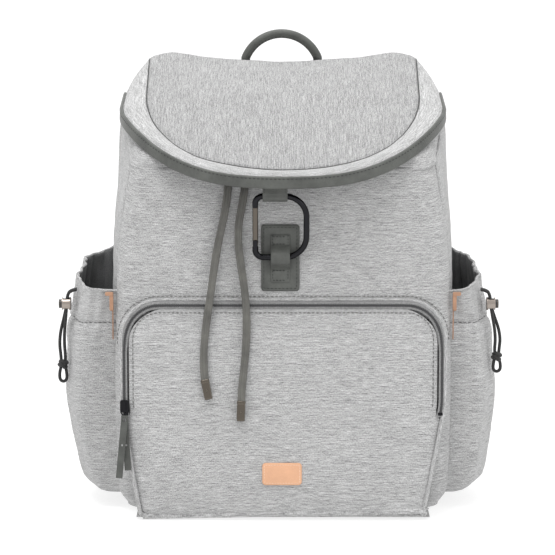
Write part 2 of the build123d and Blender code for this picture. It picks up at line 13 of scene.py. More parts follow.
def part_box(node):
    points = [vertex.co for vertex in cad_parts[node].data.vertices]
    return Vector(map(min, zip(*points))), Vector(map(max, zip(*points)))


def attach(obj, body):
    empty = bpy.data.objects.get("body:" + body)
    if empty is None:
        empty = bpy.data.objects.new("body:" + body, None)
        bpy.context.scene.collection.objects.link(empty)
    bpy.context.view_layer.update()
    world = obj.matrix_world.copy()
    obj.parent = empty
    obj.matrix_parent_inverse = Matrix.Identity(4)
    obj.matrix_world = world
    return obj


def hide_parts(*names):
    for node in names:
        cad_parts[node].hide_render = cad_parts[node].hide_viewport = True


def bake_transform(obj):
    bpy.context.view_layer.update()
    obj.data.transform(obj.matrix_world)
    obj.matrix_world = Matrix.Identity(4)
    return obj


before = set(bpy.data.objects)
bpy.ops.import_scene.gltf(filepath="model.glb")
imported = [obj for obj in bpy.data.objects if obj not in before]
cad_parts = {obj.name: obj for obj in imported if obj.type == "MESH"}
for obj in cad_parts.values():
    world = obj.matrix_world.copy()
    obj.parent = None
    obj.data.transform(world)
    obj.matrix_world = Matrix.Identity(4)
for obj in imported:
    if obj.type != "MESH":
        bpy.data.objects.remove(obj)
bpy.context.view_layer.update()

MM = 0.001


# ---------------------------------------------------------------- sizes read from the frame
def box_mm(node):
    low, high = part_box(node)
    return np.array(low) / MM, np.array(high) / MM


# ---------------------------------------------------------------- small maths
def smooth_read(table, value):
    """Reads a (place, height) table along a smooth curve through its points."""
    places = [p for p, _ in table]
    heights = [h for _, h in table]
    value = min(max(value, places[0]), places[-1])
    i = max(k for k in range(len(places) - 1) if places[k] <= value)

    def slope(k):
        low, high = max(0, k - 1), min(len(places) - 1, k + 1)
        return (heights[high] - heights[low]) / (places[high] - places[low])

    span = places[i + 1] - places[i]
    t = (value - places[i]) / span
    return (
        (2 * t**3 - 3 * t**2 + 1) * heights[i]
        + (t**3 - 2 * t**2 + t) * span * slope(i)
        + (3 * t**2 - 2 * t**3) * heights[i + 1]
        + (t**3 - t**2) * span * slope(i + 1)
    )


def ease(low, high, value):
    """0 below low, 1 above high, smooth between."""
    t = np.clip((np.asarray(value, float) - low) / (high - low), 0, 1)
    return t * t * (3 - 2 * t)


def wobble(point, size, seed=0.0):
    """Smooth noise from -1 to 1 whose lumps are about size millimetres across."""
    x, y, z = (float(c) / size for c in point)
    return noise.noise(Vector((x + seed, y - 2 * seed, z + 3 * seed)))


def bump_at(value, middle, width):
    return np.exp(-(((value - middle) / width) ** 2))


# ---------------------------------------------------------------- meshes
def make_mesh(name, points, faces, uvs=None, smooth=True):
    mesh = bpy.data.meshes.new(name)
    mesh.from_pydata((np.asarray(points, float) * MM).tolist(), [], [list(f) for f in faces])
    if uvs is not None:
        layer = mesh.uv_layers.new(name="cloth")
        loops = np.empty(len(mesh.loops), int)
        mesh.loops.foreach_get("vertex_index", loops)
        layer.data.foreach_set("uv", np.asarray(uvs, float)[loops].ravel())
    mesh.validate()
    if smooth:
        mesh.shade_smooth()
    obj = bpy.data.objects.new(name, mesh)
    bpy.context.collection.objects.link(obj)
    return obj


def grid_normals(grid, wrap):
    across = np.roll(grid, -1, 1) - np.roll(grid, 1, 1) if wrap else np.gradient(grid, axis=1)
    down = np.gradient(grid, axis=0)
    normals = np.cross(across, down)
    return normals / np.maximum(np.linalg.norm(normals, axis=2, keepdims=True), 1e-9)


def run_length(grid, axis):
    steps = np.linalg.norm(np.diff(grid, axis=axis), axis=2)
    line = steps.mean(axis=1 - axis)
    return np.concatenate([[0], np.cumsum(line)]) * MM


def cloth(name, grid, thick, away, wrap=False, plan=None):
    """A closed sheet: grid is its outer skin, rows by columns, which faces away from the point away,
    and thick is its thickness behind that. Its UV map is in metres of cloth, so weaves keep their
    scale; plan gives each point's (u, v) in millimetres where the rows and columns bend too much."""
    grid = np.asarray(grid, float)
    rows, cols, _ = grid.shape
    normals = grid_normals(grid, wrap)
    if (normals * (grid - np.array(away, float))).sum() < 0:
        grid = grid[:, ::-1]
        plan = None if plan is None else plan[:, ::-1]
        normals = grid_normals(grid, wrap)
    inner = grid - normals * thick
    points = np.concatenate([grid.reshape(-1, 3), inner.reshape(-1, 3)])
    back = rows * cols
    spans = cols if wrap else cols - 1
    faces = []
    for r in range(rows - 1):
        for c in range(spans):
            d = (c + 1) % cols
            quad = [r * cols + c, r * cols + d, (r + 1) * cols + d, (r + 1) * cols + c]
            faces.append(quad)
            faces.append([back + i for i in reversed(quad)])
    for c in range(spans):
        d = (c + 1) % cols
        low = (rows - 1) * cols
        faces.append([c, back + c, back + d, d])
        faces.append([low + d, back + low + d, back + low + c, low + c])
    if not wrap:
        for r in range(rows - 1):
            a, b = r * cols, (r + 1) * cols
            faces.append([b, back + b, back + a, a])
            a, b = a + cols - 1, b + cols - 1
            faces.append([a, back + a, back + b, b])
    if plan is None:
        u, v = np.meshgrid(run_length(grid, 1), run_length(grid, 0))
    else:
        u, v = plan[..., 0] * MM, plan[..., 1] * MM
    uv = np.stack([u.ravel(), v.ravel()], axis=1)
    return make_mesh(name, points, faces, np.concatenate([uv, uv]))


def path_frames(path, up):
    """Unit tangents, side vectors and ups along a path; up is one vector or one per point."""
    path = np.asarray(path, float)
    tangent = np.gradient(path, axis=0)
    tangent /= np.maximum(np.linalg.norm(tangent, axis=1, keepdims=True), 1e-9)
    up = np.broadcast_to(np.asarray(up, float), path.shape)
    side = np.cross(tangent, up)
    side /= np.maximum(np.linalg.norm(side, axis=1, keepdims=True), 1e-9)
    return tangent, side, np.cross(side, tangent)


def sweep(name, path, profile, up, closed=False):
    """A closed profile, as (side, up) points, swept along a path and capped at both ends."""
    path = np.asarray(path, float)
    profile = np.asarray(profile, float)
    tangent, side, over = path_frames(path, up)
    count, around = len(path), len(profile)
    if profile.ndim == 3:
        around = profile.shape[1]
    else:
        profile = np.broadcast_to(profile, (count, around, 2))
    points = path[:, None] + side[:, None] * profile[..., :1] + over[:, None] * profile[..., 1:]
    faces = []
    spans = count if closed else count - 1
    for r in range(spans):
        for c in range(around):
            d, n = (c + 1) % around, (r + 1) % count
            faces.append([r * around + c, r * around + d, n * around + d, n * around + c])
    if not closed:
        faces.append(list(range(around))[::-1])
        faces.append([(count - 1) * around + c for c in range(around)])
    along_path = np.concatenate([[0], np.cumsum(np.linalg.norm(np.diff(path, axis=0), axis=1))])
    width = np.concatenate([[0], np.cumsum(np.linalg.norm(np.diff(profile[0], axis=0), axis=1))])
    u, v = np.meshgrid(width * MM, along_path * MM)
    obj = make_mesh(name, points.reshape(-1, 3), faces, np.stack([v.ravel(), u.ravel()], axis=1))
    fix_normals(obj)
    return obj


def fix_normals(obj):
    import bmesh
    form = bmesh.new()
    form.from_mesh(obj.data)
    bmesh.ops.recalc_face_normals(form, faces=form.faces)
    form.to_mesh(obj.data)
    form.free()


def round_profile(width, height, corner, steps=4):
    """A rounded rectangle as (side, up) points."""
    points = []
    for sx, sy, start in ((1, 1, 0), (-1, 1, 90), (-1, -1, 180), (1, -1, 270)):
        for k in range(steps + 1):
            a = radians(start + 90 * k / steps)
            points.append((sx * (width / 2 - corner) + corner * cos(a),
                sy * (height / 2 - corner) + corner * sin(a)))
    return points


def circle_profile(radius, steps=12):
    return [(radius * cos(2 * pi * k / steps), radius * sin(2 * pi * k / steps)) for k in range(steps)]


def resample(path, step):
    path = np.asarray(path, float)
    lengths = np.concatenate([[0], np.cumsum(np.linalg.norm(np.diff(path, axis=0), axis=1))])
    count = max(2, int(round(lengths[-1] / step)) + 1)
    places = np.linspace(0, lengths[-1], count)
    return np.stack([np.interp(places, lengths, path[:, k]) for k in range(3)], axis=1)


def stitches(name, path, up, body, length=3.2, gap=1.3, thick=0.42):
    """A row of thread stitches that lie along a path, half sunk in the surface under them."""
    path = resample(path, (length + gap) / 4)
    tangent, side, over = path_frames(path, up)
    points, faces = [], []
    for start in range(0, len(path) - 4, 4):
        base = len(points)
        rings = [(0, 0.35), (1, 1.0), (2, 1.0), (3, 0.35)]
        for offset, size in rings:
            i = start + offset
            shift = -0.4 if offset in (0, 3) else 0.1
            for k in range(6):
                a = pi * k / 3
                points.append(
                    path[i]
                    + side[i] * thick * size * cos(a)
                    + over[i] * (thick * 0.8 * size * sin(a) + shift * thick)
                )
        for ring in range(3):
            for k in range(6):
                n = (k + 1) % 6
                a, b = base + ring * 6, base + ring * 6 + 6
                faces.append([a + k, a + n, b + n, b + k])
        faces.append([base + k for k in range(6)][::-1])
        faces.append([base + 18 + k for k in range(6)])
    obj = make_mesh(name, points, faces)
    fix_normals(obj)
    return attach(obj, body)


def paint(obj, material):
    obj.data.materials.clear()
    obj.data.materials.append(material)
    return obj


# ---------------------------------------------------------------- materials
def new_material(name, color, rough, metal=0.0, sheen=0.0, coat=0.0):
    material = bpy.data.materials.new(name)
    material.use_nodes = True
    tree = material.node_tree
    shader = tree.nodes["Principled BSDF"]
    shader.inputs["Base Color"].default_value = (*color, 1)
    shader.inputs["Roughness"].default_value = rough
    shader.inputs["Metallic"].default_value = metal
    shader.inputs["Sheen Weight"].default_value = sheen
    shader.inputs["Coat Weight"].default_value = coat
    material.diffuse_color = (*color, 1)
    return material, tree, shader


def node(tree, kind, **settings):
    made = tree.nodes.new(kind)
    for key, value in settings.items():
        if key in made.inputs.keys():
            made.inputs[key].default_value = value
        else:
            setattr(made, key, value)
    return made


def stretched(tree, source, scale):
    mapping = node(tree, "ShaderNodeMapping")
    mapping.inputs["Scale"].default_value = scale
    tree.links.new(source, mapping.inputs["Vector"])
    return mapping.outputs["Vector"]


def grain(tree, vector, scale, detail=3.0, rough=0.55):
    made = node(tree, "ShaderNodeTexNoise", Scale=scale, Detail=detail, Roughness=rough)
    tree.links.new(vector, made.inputs["Vector"])
    return made.outputs["Fac"]


def ramp(tree, value, stops):
    made = node(tree, "ShaderNodeValToRGB")
    elements = made.color_ramp.elements
    for element, (place, color) in zip(elements, (stops[0], stops[-1])):
        element.position = place
        element.color = (*color, 1)
    for place, color in stops[1:-1]:
        element = elements.new(place)
        element.color = (*color, 1)
    tree.links.new(value, made.inputs["Fac"])
    return made.outputs["Color"]


def mixed(tree, kind, share, a, b):
    made = node(tree, "ShaderNodeMix", data_type="RGBA", blend_type=kind)
    made.inputs["Factor"].default_value = share
    tree.links.new(a, made.inputs["A"])
    tree.links.new(b, made.inputs["B"])
    return made.outputs["Result"]


def maths(tree, operation, a, b):
    made = node(tree, "ShaderNodeMath", operation=operation)
    for socket, value in zip(made.inputs, (a, b)):
        if isinstance(value, (int, float)):
            socket.default_value = value
        else:
            tree.links.new(value, socket)
    return made.outputs["Value"]


def bumped(tree, shader, height, distance, strength=1.0):
    made = node(tree, "ShaderNodeBump", Strength=strength, Distance=distance)
    tree.links.new(height, made.inputs["Height"])
    tree.links.new(made.outputs["Normal"], shader.inputs["Normal"])


def grey(level, warm=0.0):
    return (level * (1 + warm), level, level * (1 - warm))


def canvas(name, level, turned=False, contrast=1.0):
    """Slub canvas: thin pale and dark flecks that run along the yarn, over a plain weave."""
    material, tree, shader = new_material(name, grey(level), 0.92, sheen=0.15)
    shader.inputs["Sheen Roughness"].default_value = 0.6
    cloth_uv = node(tree, "ShaderNodeUVMap", uv_map="cloth").outputs["UV"]

    def yarn_scale(long_way, short_way):
        return (short_way, long_way, 1) if turned else (long_way, short_way, 1)
    slub = grain(tree, stretched(tree, cloth_uv, yarn_scale(60, 1100)), 1.0, 2.0, 0.6)
    fleck = grain(tree, stretched(tree, cloth_uv, yarn_scale(190, 1500)), 1.0, 1.5)
    cross = grain(tree, stretched(tree, cloth_uv, yarn_scale(1500, 800)), 1.0, 1.0)
    broad = grain(tree, stretched(tree, cloth_uv, yarn_scale(14, 190)), 1.0, 3.0)
    cloud = grain(tree, cloth_uv, 34, 3.0)
    dark, pale = level * (1 - 0.70 * contrast), min(0.98, level * (1 + 0.85 * contrast))
    yarn = ramp(tree, slub, [(0.34, grey(dark)), (0.50, grey(level)), (0.66, grey(pale))])
    flecks = ramp(tree, fleck, [(0.36, grey(dark)), (0.5, grey(level)), (0.64, grey(pale))])
    warp = ramp(tree, cross, [(0.36, grey(dark * 0.9)), (0.5, grey(level)), (0.66, grey(pale))])
    streaks = ramp(tree, broad, [(0.3, grey(0.84)), (0.7, grey(1.0))])
    color = mixed(tree, "MIX", 0.45, yarn, flecks)
    color = mixed(tree, "MIX", 0.42, color, warp)
    color = mixed(tree, "MULTIPLY", 0.8, color, streaks)
    clouds = ramp(tree, cloud, [(0.3, grey(0.92)), (0.7, grey(1.0))])
    color = mixed(tree, "MULTIPLY", 0.8, color, clouds)
    tree.links.new(color, shader.inputs["Base Color"])
    height = maths(tree, "ADD", fleck, slub)
    height = maths(tree, "ADD", height, maths(tree, "MULTIPLY", cross, 0.9))
    bumped(tree, shader, height, 0.00055, 0.9)
    return material


def leather(name, color, rough=0.5, pebble=900, worn=0.35):
    """Pebbled leather: closed pores, uneven colour, and a faint paler bloom."""
    material, tree, shader = new_material(name, color, rough, sheen=0.05, coat=0.06)
    shader.inputs["Coat Roughness"].default_value = 0.45
    place = node(tree, "ShaderNodeTexCoord").outputs["Object"]
    cells = node(tree, "ShaderNodeTexVoronoi", Scale=float(pebble))
    tree.links.new(place, cells.inputs["Vector"])
    fine = grain(tree, place, pebble * 2.4, 2.0)
    broad = grain(tree, place, 55, 4.0, 0.6)
    dark = tuple(c * (1 - worn) for c in color)
    pale = tuple(min(1, c * (1 + worn)) for c in color)
    tone = ramp(tree, broad, [(0.3, dark), (0.5, color), (0.72, pale)])
    pores = ramp(tree, cells.outputs["Distance"], [(0.0, grey(1.0)), (0.8, grey(0.82))])
    tree.links.new(mixed(tree, "MULTIPLY", 0.7, tone, pores), shader.inputs["Base Color"])
    spread = node(tree, "ShaderNodeMapRange")
    spread.inputs["To Min"].default_value = rough - 0.1
    spread.inputs["To Max"].default_value = rough + 0.14
    tree.links.new(broad, spread.inputs["Value"])
    tree.links.new(spread.outputs["Result"], shader.inputs["Roughness"])
    height = maths(tree, "SUBTRACT", fine, cells.outputs["Distance"])
    bumped(tree, shader, height, 0.00022, 0.7)
    return material


def metal(name, color, rough, worn=0.06):
    """Polished metal with faint smears and hairline wear."""
    material, tree, shader = new_material(name, color, rough, metal=1.0)
    place = node(tree, "ShaderNodeTexCoord").outputs["Object"]
    smear = grain(tree, place, 140, 4.0, 0.65)
    lines = grain(tree, stretched(tree, place, (1800, 1800, 160)), 1.0, 2.0)
    spread = node(tree, "ShaderNodeMapRange")
    spread.inputs["To Min"].default_value = max(0.02, rough - worn)
    spread.inputs["To Max"].default_value = rough + worn
    tree.links.new(smear, spread.inputs["Value"])
    tree.links.new(spread.outputs["Result"], shader.inputs["Roughness"])
    bumped(tree, shader, lines, 0.00002, 0.25)
    return material


def plain_cloth(name, color, ribs=(900, 900), bump=0.0004, rough=0.9, sheen=0.2):
    """Close woven cloth, thread or webbing, by object coordinates."""
    material, tree, shader = new_material(name, color, rough, sheen=sheen)
    place = node(tree, "ShaderNodeTexCoord").outputs["Object"]
    wide = grain(tree, stretched(tree, place, (ribs[0], ribs[0], ribs[1])), 1.0, 2.0)
    cloud = grain(tree, place, 60, 3.0)
    dark = tuple(c * 0.7 for c in color)
    pale = tuple(min(1, c * 1.35) for c in color)
    tone = ramp(tree, wide, [(0.3, dark), (0.5, color), (0.7, pale)])
    clouds = ramp(tree, cloud, [(0.3, grey(0.85)), (0.7, grey(1.0))])
    tree.links.new(mixed(tree, "MULTIPLY", 0.8, tone, clouds), shader.inputs["Base Color"])
    bumped(tree, shader, wide, bump, 0.8)
    return material


def spacer_mesh(name, color):
    """Padding mesh: rows of small open holes, each painted dark in its middle as the shade inside the hole.
    """
    material, tree, shader = new_material(name, color, 0.85, sheen=0.3)
    place = node(tree, "ShaderNodeTexCoord").outputs["Object"]
    cells = node(tree, "ShaderNodeTexVoronoi", Scale=420.0, Randomness=0.25)
    tree.links.new(place, cells.inputs["Vector"])
    dark = tuple(c * 0.25 for c in color)
    # Painted shade: the middle of each hole is darkened.
    tone = ramp(tree, cells.outputs["Distance"], [(0.12, dark), (0.32, color), (0.8, color)])
    tree.links.new(tone, shader.inputs["Base Color"])
    bumped(tree, shader, cells.outputs["Distance"], 0.0007, 0.8)
    return material


def plastic(name, color, rough=0.45):
    material, tree, shader = new_material(name, color, rough)
    place = node(tree, "ShaderNodeTexCoord").outputs["Object"]
    fine = grain(tree, place, 2600, 2.0)
    broad = grain(tree, place, 90, 3.0)
    spread = node(tree, "ShaderNodeMapRange")
    spread.inputs["To Min"].default_value = rough - 0.08
    spread.inputs["To Max"].default_value = rough + 0.1
    tree.links.new(broad, spread.inputs["Value"])
    tree.links.new(spread.outputs["Result"], shader.inputs["Roughness"])
    bumped(tree, shader, fine, 0.00004, 0.5)
    return material


HEATHER = canvas("heather_canvas", 0.41)
# The lid top's canvas is the body's heather canvas, turned and darker: painted shade on the lid top.
SHADED_LID_CLOTH = canvas("lid_canvas", 0.345, turned=True)
# The band's canvas is the body's heather canvas made lighter: painted light on the lid's band.
LIT_BAND_CLOTH = canvas("band_canvas_painted_light", 0.45)
LINING = plain_cloth("lining_cloth", (0.13, 0.14, 0.15))
TRIM = leather("trim_leather", (0.070, 0.074, 0.067), rough=0.42)
STRING = leather("cord_leather", (0.105, 0.103, 0.092), rough=0.45)
TAN = leather("tan_leather", (0.42, 0.23, 0.14), worn=0.2)
LABEL = leather("label_leather", (0.72, 0.40, 0.24), rough=0.6, pebble=1500, worn=0.07)
GUNMETAL = metal("black_metal", (0.022, 0.022, 0.024), 0.16)
NICKEL = metal("bright_metal", (0.12, 0.105, 0.088), 0.18)
ROSE = metal("rose_metal", (0.33, 0.29, 0.26), 0.18)
TAPE = plain_cloth("zip_tape_cloth", (0.23, 0.23, 0.23), (1400, 700))
TEETH = plastic("zip_teeth_coil", (0.035, 0.035, 0.037), 0.35)
BLACK = plastic("black_plastic", (0.025, 0.025, 0.026))
ELASTIC = plain_cloth("elastic_braid", (0.012, 0.012, 0.012), (1500, 900), rough=0.7, sheen=0.1)
MESH = spacer_mesh("pad_mesh", (0.15, 0.15, 0.16))
WEBBING = plain_cloth("webbing_ribs", (0.07, 0.07, 0.074), (500, 2600), 0.0006)
THREAD_DARK = plain_cloth("dark_thread", (0.05, 0.052, 0.05), (3000, 3000), 0.0001)
THREAD_TRIM = plain_cloth("trim_thread", (0.016, 0.017, 0.016), (3000, 3000), 0.0001)
# Inside of the side pockets: their heather cloth seen in shadow, drawn as a dark plain cloth, which is
# painted shade.
SHADED_POUCH_CLOTH = plain_cloth("pocket_inside_painted_shade", (0.115, 0.117, 0.118), (1500, 1500), 0.0002)
THREAD_PALE = plain_cloth("pale_thread", (0.13, 0.13, 0.125), (3000, 3000), 0.0001)
THREAD_PEACH = plain_cloth("peach_thread", (0.88, 0.62, 0.45), (3000, 3000), 0.0001)
BOARD = plastic("base_board_plastic", (0.3, 0.3, 0.29), 0.6)


# ---------------------------------------------------------------- the body's form
FRONT_HALF = [(0, 138), (20, 153), (225, 152), (320, 138), (362, 127), (410, 116)]
FRONT_Y = [(0, -50), (20, -62), (225, -60), (320, -55), (362, -52), (410, -50)]
BACK_HALF = [(0, 142), (20, 157), (225, 162), (320, 161), (362, 158), (410, 130)]
BACK_Y = [(0, 62), (20, 74), (225, 76), (320, 76), (362, 76), (410, 76)]
BODY_CORNER = 20
FRONT_SEAM_Y, BACK_SEAM_Y = -38, 52
WALL = 3
RIM_FRONT_Z, RIM_RISE, RIM_FRONT_Y = 322, 0.36, -52
BACK_FLAP_TOP = 402
SIDES = {"left": -1, "right": 1}


INSIDE = (0, 10, 180)     # a point in the middle of the bag


def rim_z(y):
    return RIM_FRONT_Z + RIM_RISE * (y - RIM_FRONT_Y)


def rounded_outline(corners, radius, steps=8):
    """A closed polygon with every corner rounded, by one radius or one each."""
    corners = [np.array(c, float) for c in corners]
    radii = radius if isinstance(radius, list) else [radius] * len(corners)
    points = []
    for i, corner in enumerate(corners):
        radius = radii[i]
        before = corners[i - 1] - corner
        after = corners[(i + 1) % len(corners)] - corner
        before /= np.linalg.norm(before)
        after /= np.linalg.norm(after)
        half = np.arccos(np.clip(before @ after, -1, 1)) / 2
        middle = (before + after) / np.linalg.norm(before + after)
        centre = corner + middle * radius / sin(half)
        start = corner + before * radius / np.tan(half) - centre
        end = corner + after * radius / np.tan(half) - centre
        first, last = atan2(start[1], start[0]), atan2(end[1], end[0])
        turn = (last - first + pi) % (2 * pi) - pi
        for k in range(steps + 1):
            a = first + turn * k / steps
            points.append(centre + radius * np.array([cos(a), sin(a)]))
    return np.array(points)


def body_outline(z, grow=0.0):
    front, front_y = smooth_read(FRONT_HALF, z) + grow, smooth_read(FRONT_Y, z) - grow
    back, back_y = smooth_read(BACK_HALF, z) + grow, smooth_read(BACK_Y, z) + grow
    corners = [(-front, front_y), (front, front_y), (back, back_y), (-back, back_y)]
    return rounded_outline(corners, max(6, BODY_CORNER + grow))


def part_of_outline(points, low_y, high_y, columns):
    """The run of a closed outline whose y is between two values, even steps, left to right or
    front to back."""
    closed = np.concatenate([points, points[:1]])
    dense = np.concatenate(
        [np.linspace(a, b, 12, endpoint=False) for a, b in zip(closed, closed[1:])]
    )
    keep = (dense[:, 1] >= low_y) & (dense[:, 1] <= high_y)
    start = next(i for i in range(len(dense)) if keep[i] and not keep[i - 1])
    run = np.array([p for p in np.roll(dense, -start, 0)][: int(keep.sum())])
    lengths = np.concatenate([[0], np.cumsum(np.linalg.norm(np.diff(run, axis=0), axis=1))])
    places = np.linspace(0, lengths[-1], columns)
    return np.stack([np.interp(places, lengths, run[:, k]) for k in range(2)], axis=1)


class Wall:
    """One run of the body's outline at every height, read by column and height."""

    def __init__(self, low_y, high_y, columns, grow=0.0, side=None):
        self.heights = np.arange(0, 413, 4.0)
        self.runs = []
        for z in self.heights:
            points = body_outline(z, grow)
            if side is not None:
                points = points[points[:, 0] * side > 0]
                points = points[np.argsort(points[:, 1])]
                ends = [np.array([np.interp(y, points[:, 1], points[:, 0]), y]) for y in (low_y, high_y)]
                run = np.linspace(ends[0], ends[1], columns)
            else:
                run = part_of_outline(points, low_y, high_y, columns)
            self.runs.append(run)
        self.runs = np.array(self.runs)

    def at(self, column, z):
        x = np.interp(z, self.heights, self.runs[:, column, 0])
        y = np.interp(z, self.heights, self.runs[:, column, 1])
        return np.array([x, y, z])

    def grid(self, low, high, rows):
        """Rows from low to high; low is a height, and high is a height or a rule of (x, y) at the top."""
        columns = self.runs.shape[1]
        grid = np.zeros((rows, columns, 3))
        for c in range(columns):
            guide = self.runs[80, c]
            top = high(guide) if callable(high) else high
            for r in range(rows):
                grid[r, c] = self.at(c, low + (top - low) * r / (rows - 1))
        return grid


def outward(grid):
    """Normals of a wall, turned to point away from the bag's middle."""
    normals = grid_normals(grid, False)
    middle = np.array([0, 5, 200.0])
    away = grid - middle
    away[..., 2] *= 0.1
    flip = np.sign((normals * away).sum(axis=2).mean())
    return normals * (flip if flip else 1)


def edge_pull(count, width, step):
    """1 at a panel's two ends and 0 further in than width millimetres."""
    places = np.arange(count) * step
    nearest = np.minimum(places, places[::-1])
    return np.exp(-((nearest / width) ** 2))


def body_panel(name, grid, nodes, crown, wrinkle, seed):
    """A padded wall panel: crowned, softly wrinkled, and pulled in along its seams."""
    rows, cols, _ = grid.shape
    normals = outward(grid)
    step = run_length(grid, 1)[-1] / MM / (cols - 1)
    pull = edge_pull(cols, 3.0, step)
    span = np.sin(np.linspace(0, pi, cols)) ** 0.7
    for r in range(rows):
        rise = np.sin(pi * min(1.0, 0.12 + 0.88 * r / (rows - 1))) ** 0.6
        for c in range(cols):
            point = grid[r, c]
            folds = wobble(point * np.array([1, 1, 0.45]), 42, seed)
            small = wobble(point, 15, seed + 7) * 0.35
            lift = crown * span[c] * rise + wrinkle * (folds + small) - 2.2 * pull[c]
            grid[r, c] = point + normals[r, c] * lift
    panel = cloth(name, grid, WALL, INSIDE)
    paint(panel, HEATHER)
    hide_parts(*nodes)
    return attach(panel, "bag")


def seam_line(name, column_path, lift=0.4):
    """A corded seam: a slim rounded tube along a panel's edge."""
    path = resample(column_path, 4)
    outer = path - np.array([0, 5, 0])
    outer[:, 2] = 0
    cord = sweep(name, path + outer / np.linalg.norm(outer, axis=1, keepdims=True) * lift,
                 circle_profile(1.3, 10), (0, 1, 0.01))
    paint(cord, HEATHER)
    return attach(cord, "bag")


def build_body():
    front = Wall(-200, FRONT_SEAM_Y, 150)
    body_panel("front_wall", front.grid(6, lambda p: rim_z(p[1]) - 1, 90), ["front_panel"], 1.5, 0.8, 1.3)
    for side, sign in SIDES.items():
        wall = Wall(FRONT_SEAM_Y, BACK_SEAM_Y, 40, side=sign)
        grid = wall.grid(6, lambda p: rim_z(p[1]) - 1, 90)
        body_panel(f"side_wall_{side}", grid, [f"side_panel_{side}"], 3.0, 1.6, 4.7 + sign)
        seam_line(f"front_seam_{side}", grid[:, 0] if abs(grid[0, 0, 1] - FRONT_SEAM_Y) < 6 else grid[:, -1])
        seam_line(f"back_seam_{side}", grid[:, -1] if abs(grid[0, -1, 1] - BACK_SEAM_Y) < 6 else grid[:, 0])
    back = Wall(BACK_SEAM_Y, 200, 120)

    def back_top(p):
        return rim_z(p[1]) + (BACK_FLAP_TOP - rim_z(p[1])) * float(ease(70, 75.5, p[1]))

    body_panel("back_wall", back.grid(6, back_top, 90), ["back_panel"], 0.8, 0.6, 9.1)


def build_base():
    """The base: a soft-edged panel that rests flat on the floor."""
    rows = [(0.0, 0.0), (0.0, 0.45), (0.0, 0.9), (0.0, 0.99), (0.8, 1.02), (2.0, 1.035)]
    rows += [(z, 1.0 + 0.03 * (1 - z / 14)) for z in (4, 7, 10, 12, 14)]
    columns = 160
    grid = np.zeros((len(rows), columns, 3))
    for r, (z, share) in enumerate(rows):
        outline = body_outline(z, 0.2)
        closed = np.concatenate([outline, outline[:1]])
        lengths = np.concatenate([[0], np.cumsum(np.linalg.norm(np.diff(closed, axis=0), axis=1))])
        places = np.linspace(0, lengths[-1], columns, endpoint=False)
        for k in range(2):
            grid[r, :, k] = np.interp(places, lengths, closed[:, k]) * max(share, 0.02)
        grid[r, :, 2] = z
    base = cloth("base_cloth", grid, 2.0, INSIDE, wrap=True)
    paint(base, HEATHER)
    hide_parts("base_panel")
    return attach(base, "bag")


def build_lining():
    """The lining bag inside, creased where it is gathered into the mouth."""
    columns, steps = 180, 46
    grid = np.zeros((steps + 5, columns, 3))
    for c in range(columns):
        share = c / columns
        for r in range(steps):
            depth = r / (steps - 1)
            z = 330 - 323 * depth
            outline = LINING_RUNS[int(round(z / 4))]
            x, y = outline[c]
            rim = rim_z(y) - 3
            z = rim + (7 - rim) * depth
            outline = LINING_RUNS[int(round(z / 4))]
            x, y = outline[c]
            ripple = 0.9 * sin(2 * pi * share * 92) * (1 - ease(0, 0.22, depth)) + 1.3 * wobble((x, y, z), 38)
            reach = 1 - (max(0.0, ripple)) / 150
            grid[r, c] = (x * reach, y * reach, z)
        for k, scale_in in enumerate((0.9, 0.65, 0.4, 0.2, 0.03)):
            x, y, z = grid[steps - 1, c]
            grid[steps + k, c] = (x * scale_in, y * scale_in, 7 - 0.1 * k)
    bag = cloth("lining_bag", grid, 0.8, INSIDE, wrap=True)
    paint(bag, LINING)
    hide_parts("lining")
    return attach(bag, "bag")


def even_ring(outline, columns):
    closed = np.concatenate([outline, outline[:1]])
    lengths = np.concatenate([[0], np.cumsum(np.linalg.norm(np.diff(closed, axis=0), axis=1))])
    places = np.linspace(0, lengths[-1], columns, endpoint=False)
    return np.stack([np.interp(places, lengths, closed[:, k]) for k in range(2)], axis=1)


LINING_RUNS = [even_ring(body_outline(z, -WALL - 1.4), 180) for z in np.arange(0, 413, 4.0)]


def lid_underside(x, y):
    """Height of the lid's inner side over a place, from its top panel and its band."""
    half = seam_half(y)
    if abs(x) <= half:
        return lid_height(x, y) - 6
    reach = (LID_CURVE_Y - y) / LID_REACH
    edge_half = LID_HALF * sqrt(max(0.02, 1 - max(0.0, reach) ** 2))
    share = min(1.0, (abs(x) - half) / max(1.0, edge_half - half))
    seam_z, edge_z = smooth_read(LID_SEAM, y), binding_foot(y) + BINDING_TALL
    return seam_z + (edge_z - seam_z) * share - 6


def build_collar():
    """The gathered mouth: from the rim inward and up under the lid, with a drawstring tunnel."""
    columns, rows = 360, 22
    run = Wall(-200, BACK_SEAM_Y, columns)
    grid = np.zeros((rows, columns, 3))
    plan = np.zeros((rows, columns, 2))
    for c in range(columns):
        x, y = run.runs[80, c]
        base = run.at(c, rim_z(y) - 4)
        inward = 0.80
        target_x, target_y = x * inward, 10 + (y - 10) * inward
        ceiling = lid_underside(target_x, target_y)
        target = np.array([target_x, target_y, min(ceiling, base[2] + 34)])
        for r in range(rows):
            t = r / (rows - 1)
            gather = 1.5 * t * sin(2 * pi * c / columns * 64 + 1.8 * wobble((x, y, 30 * t), 50, 2.2))
            gather += 0.9 * wobble((x, y, base[2] + 40 * t), 16, 8.8) * t
            arch = sin(pi * t) * 5.5
            out = np.array([x, y - 10, 0]) / max(1.0, sqrt(x * x + (y - 10) ** 2))
            swell = out * (arch + gather + 0.4) + np.array([0, 0, arch * 0.6])
            grid[r, c] = base + (target - base) * t + swell
            plan[r, c] = (c * 1.25, 38 * t)
    collar = cloth("mouth_collar", grid, 1.6, INSIDE, plan=plan)
    line_inside(collar, HEATHER)
    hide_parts("mouth_casing", "drawstring_run")
    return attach(collar, "bag")


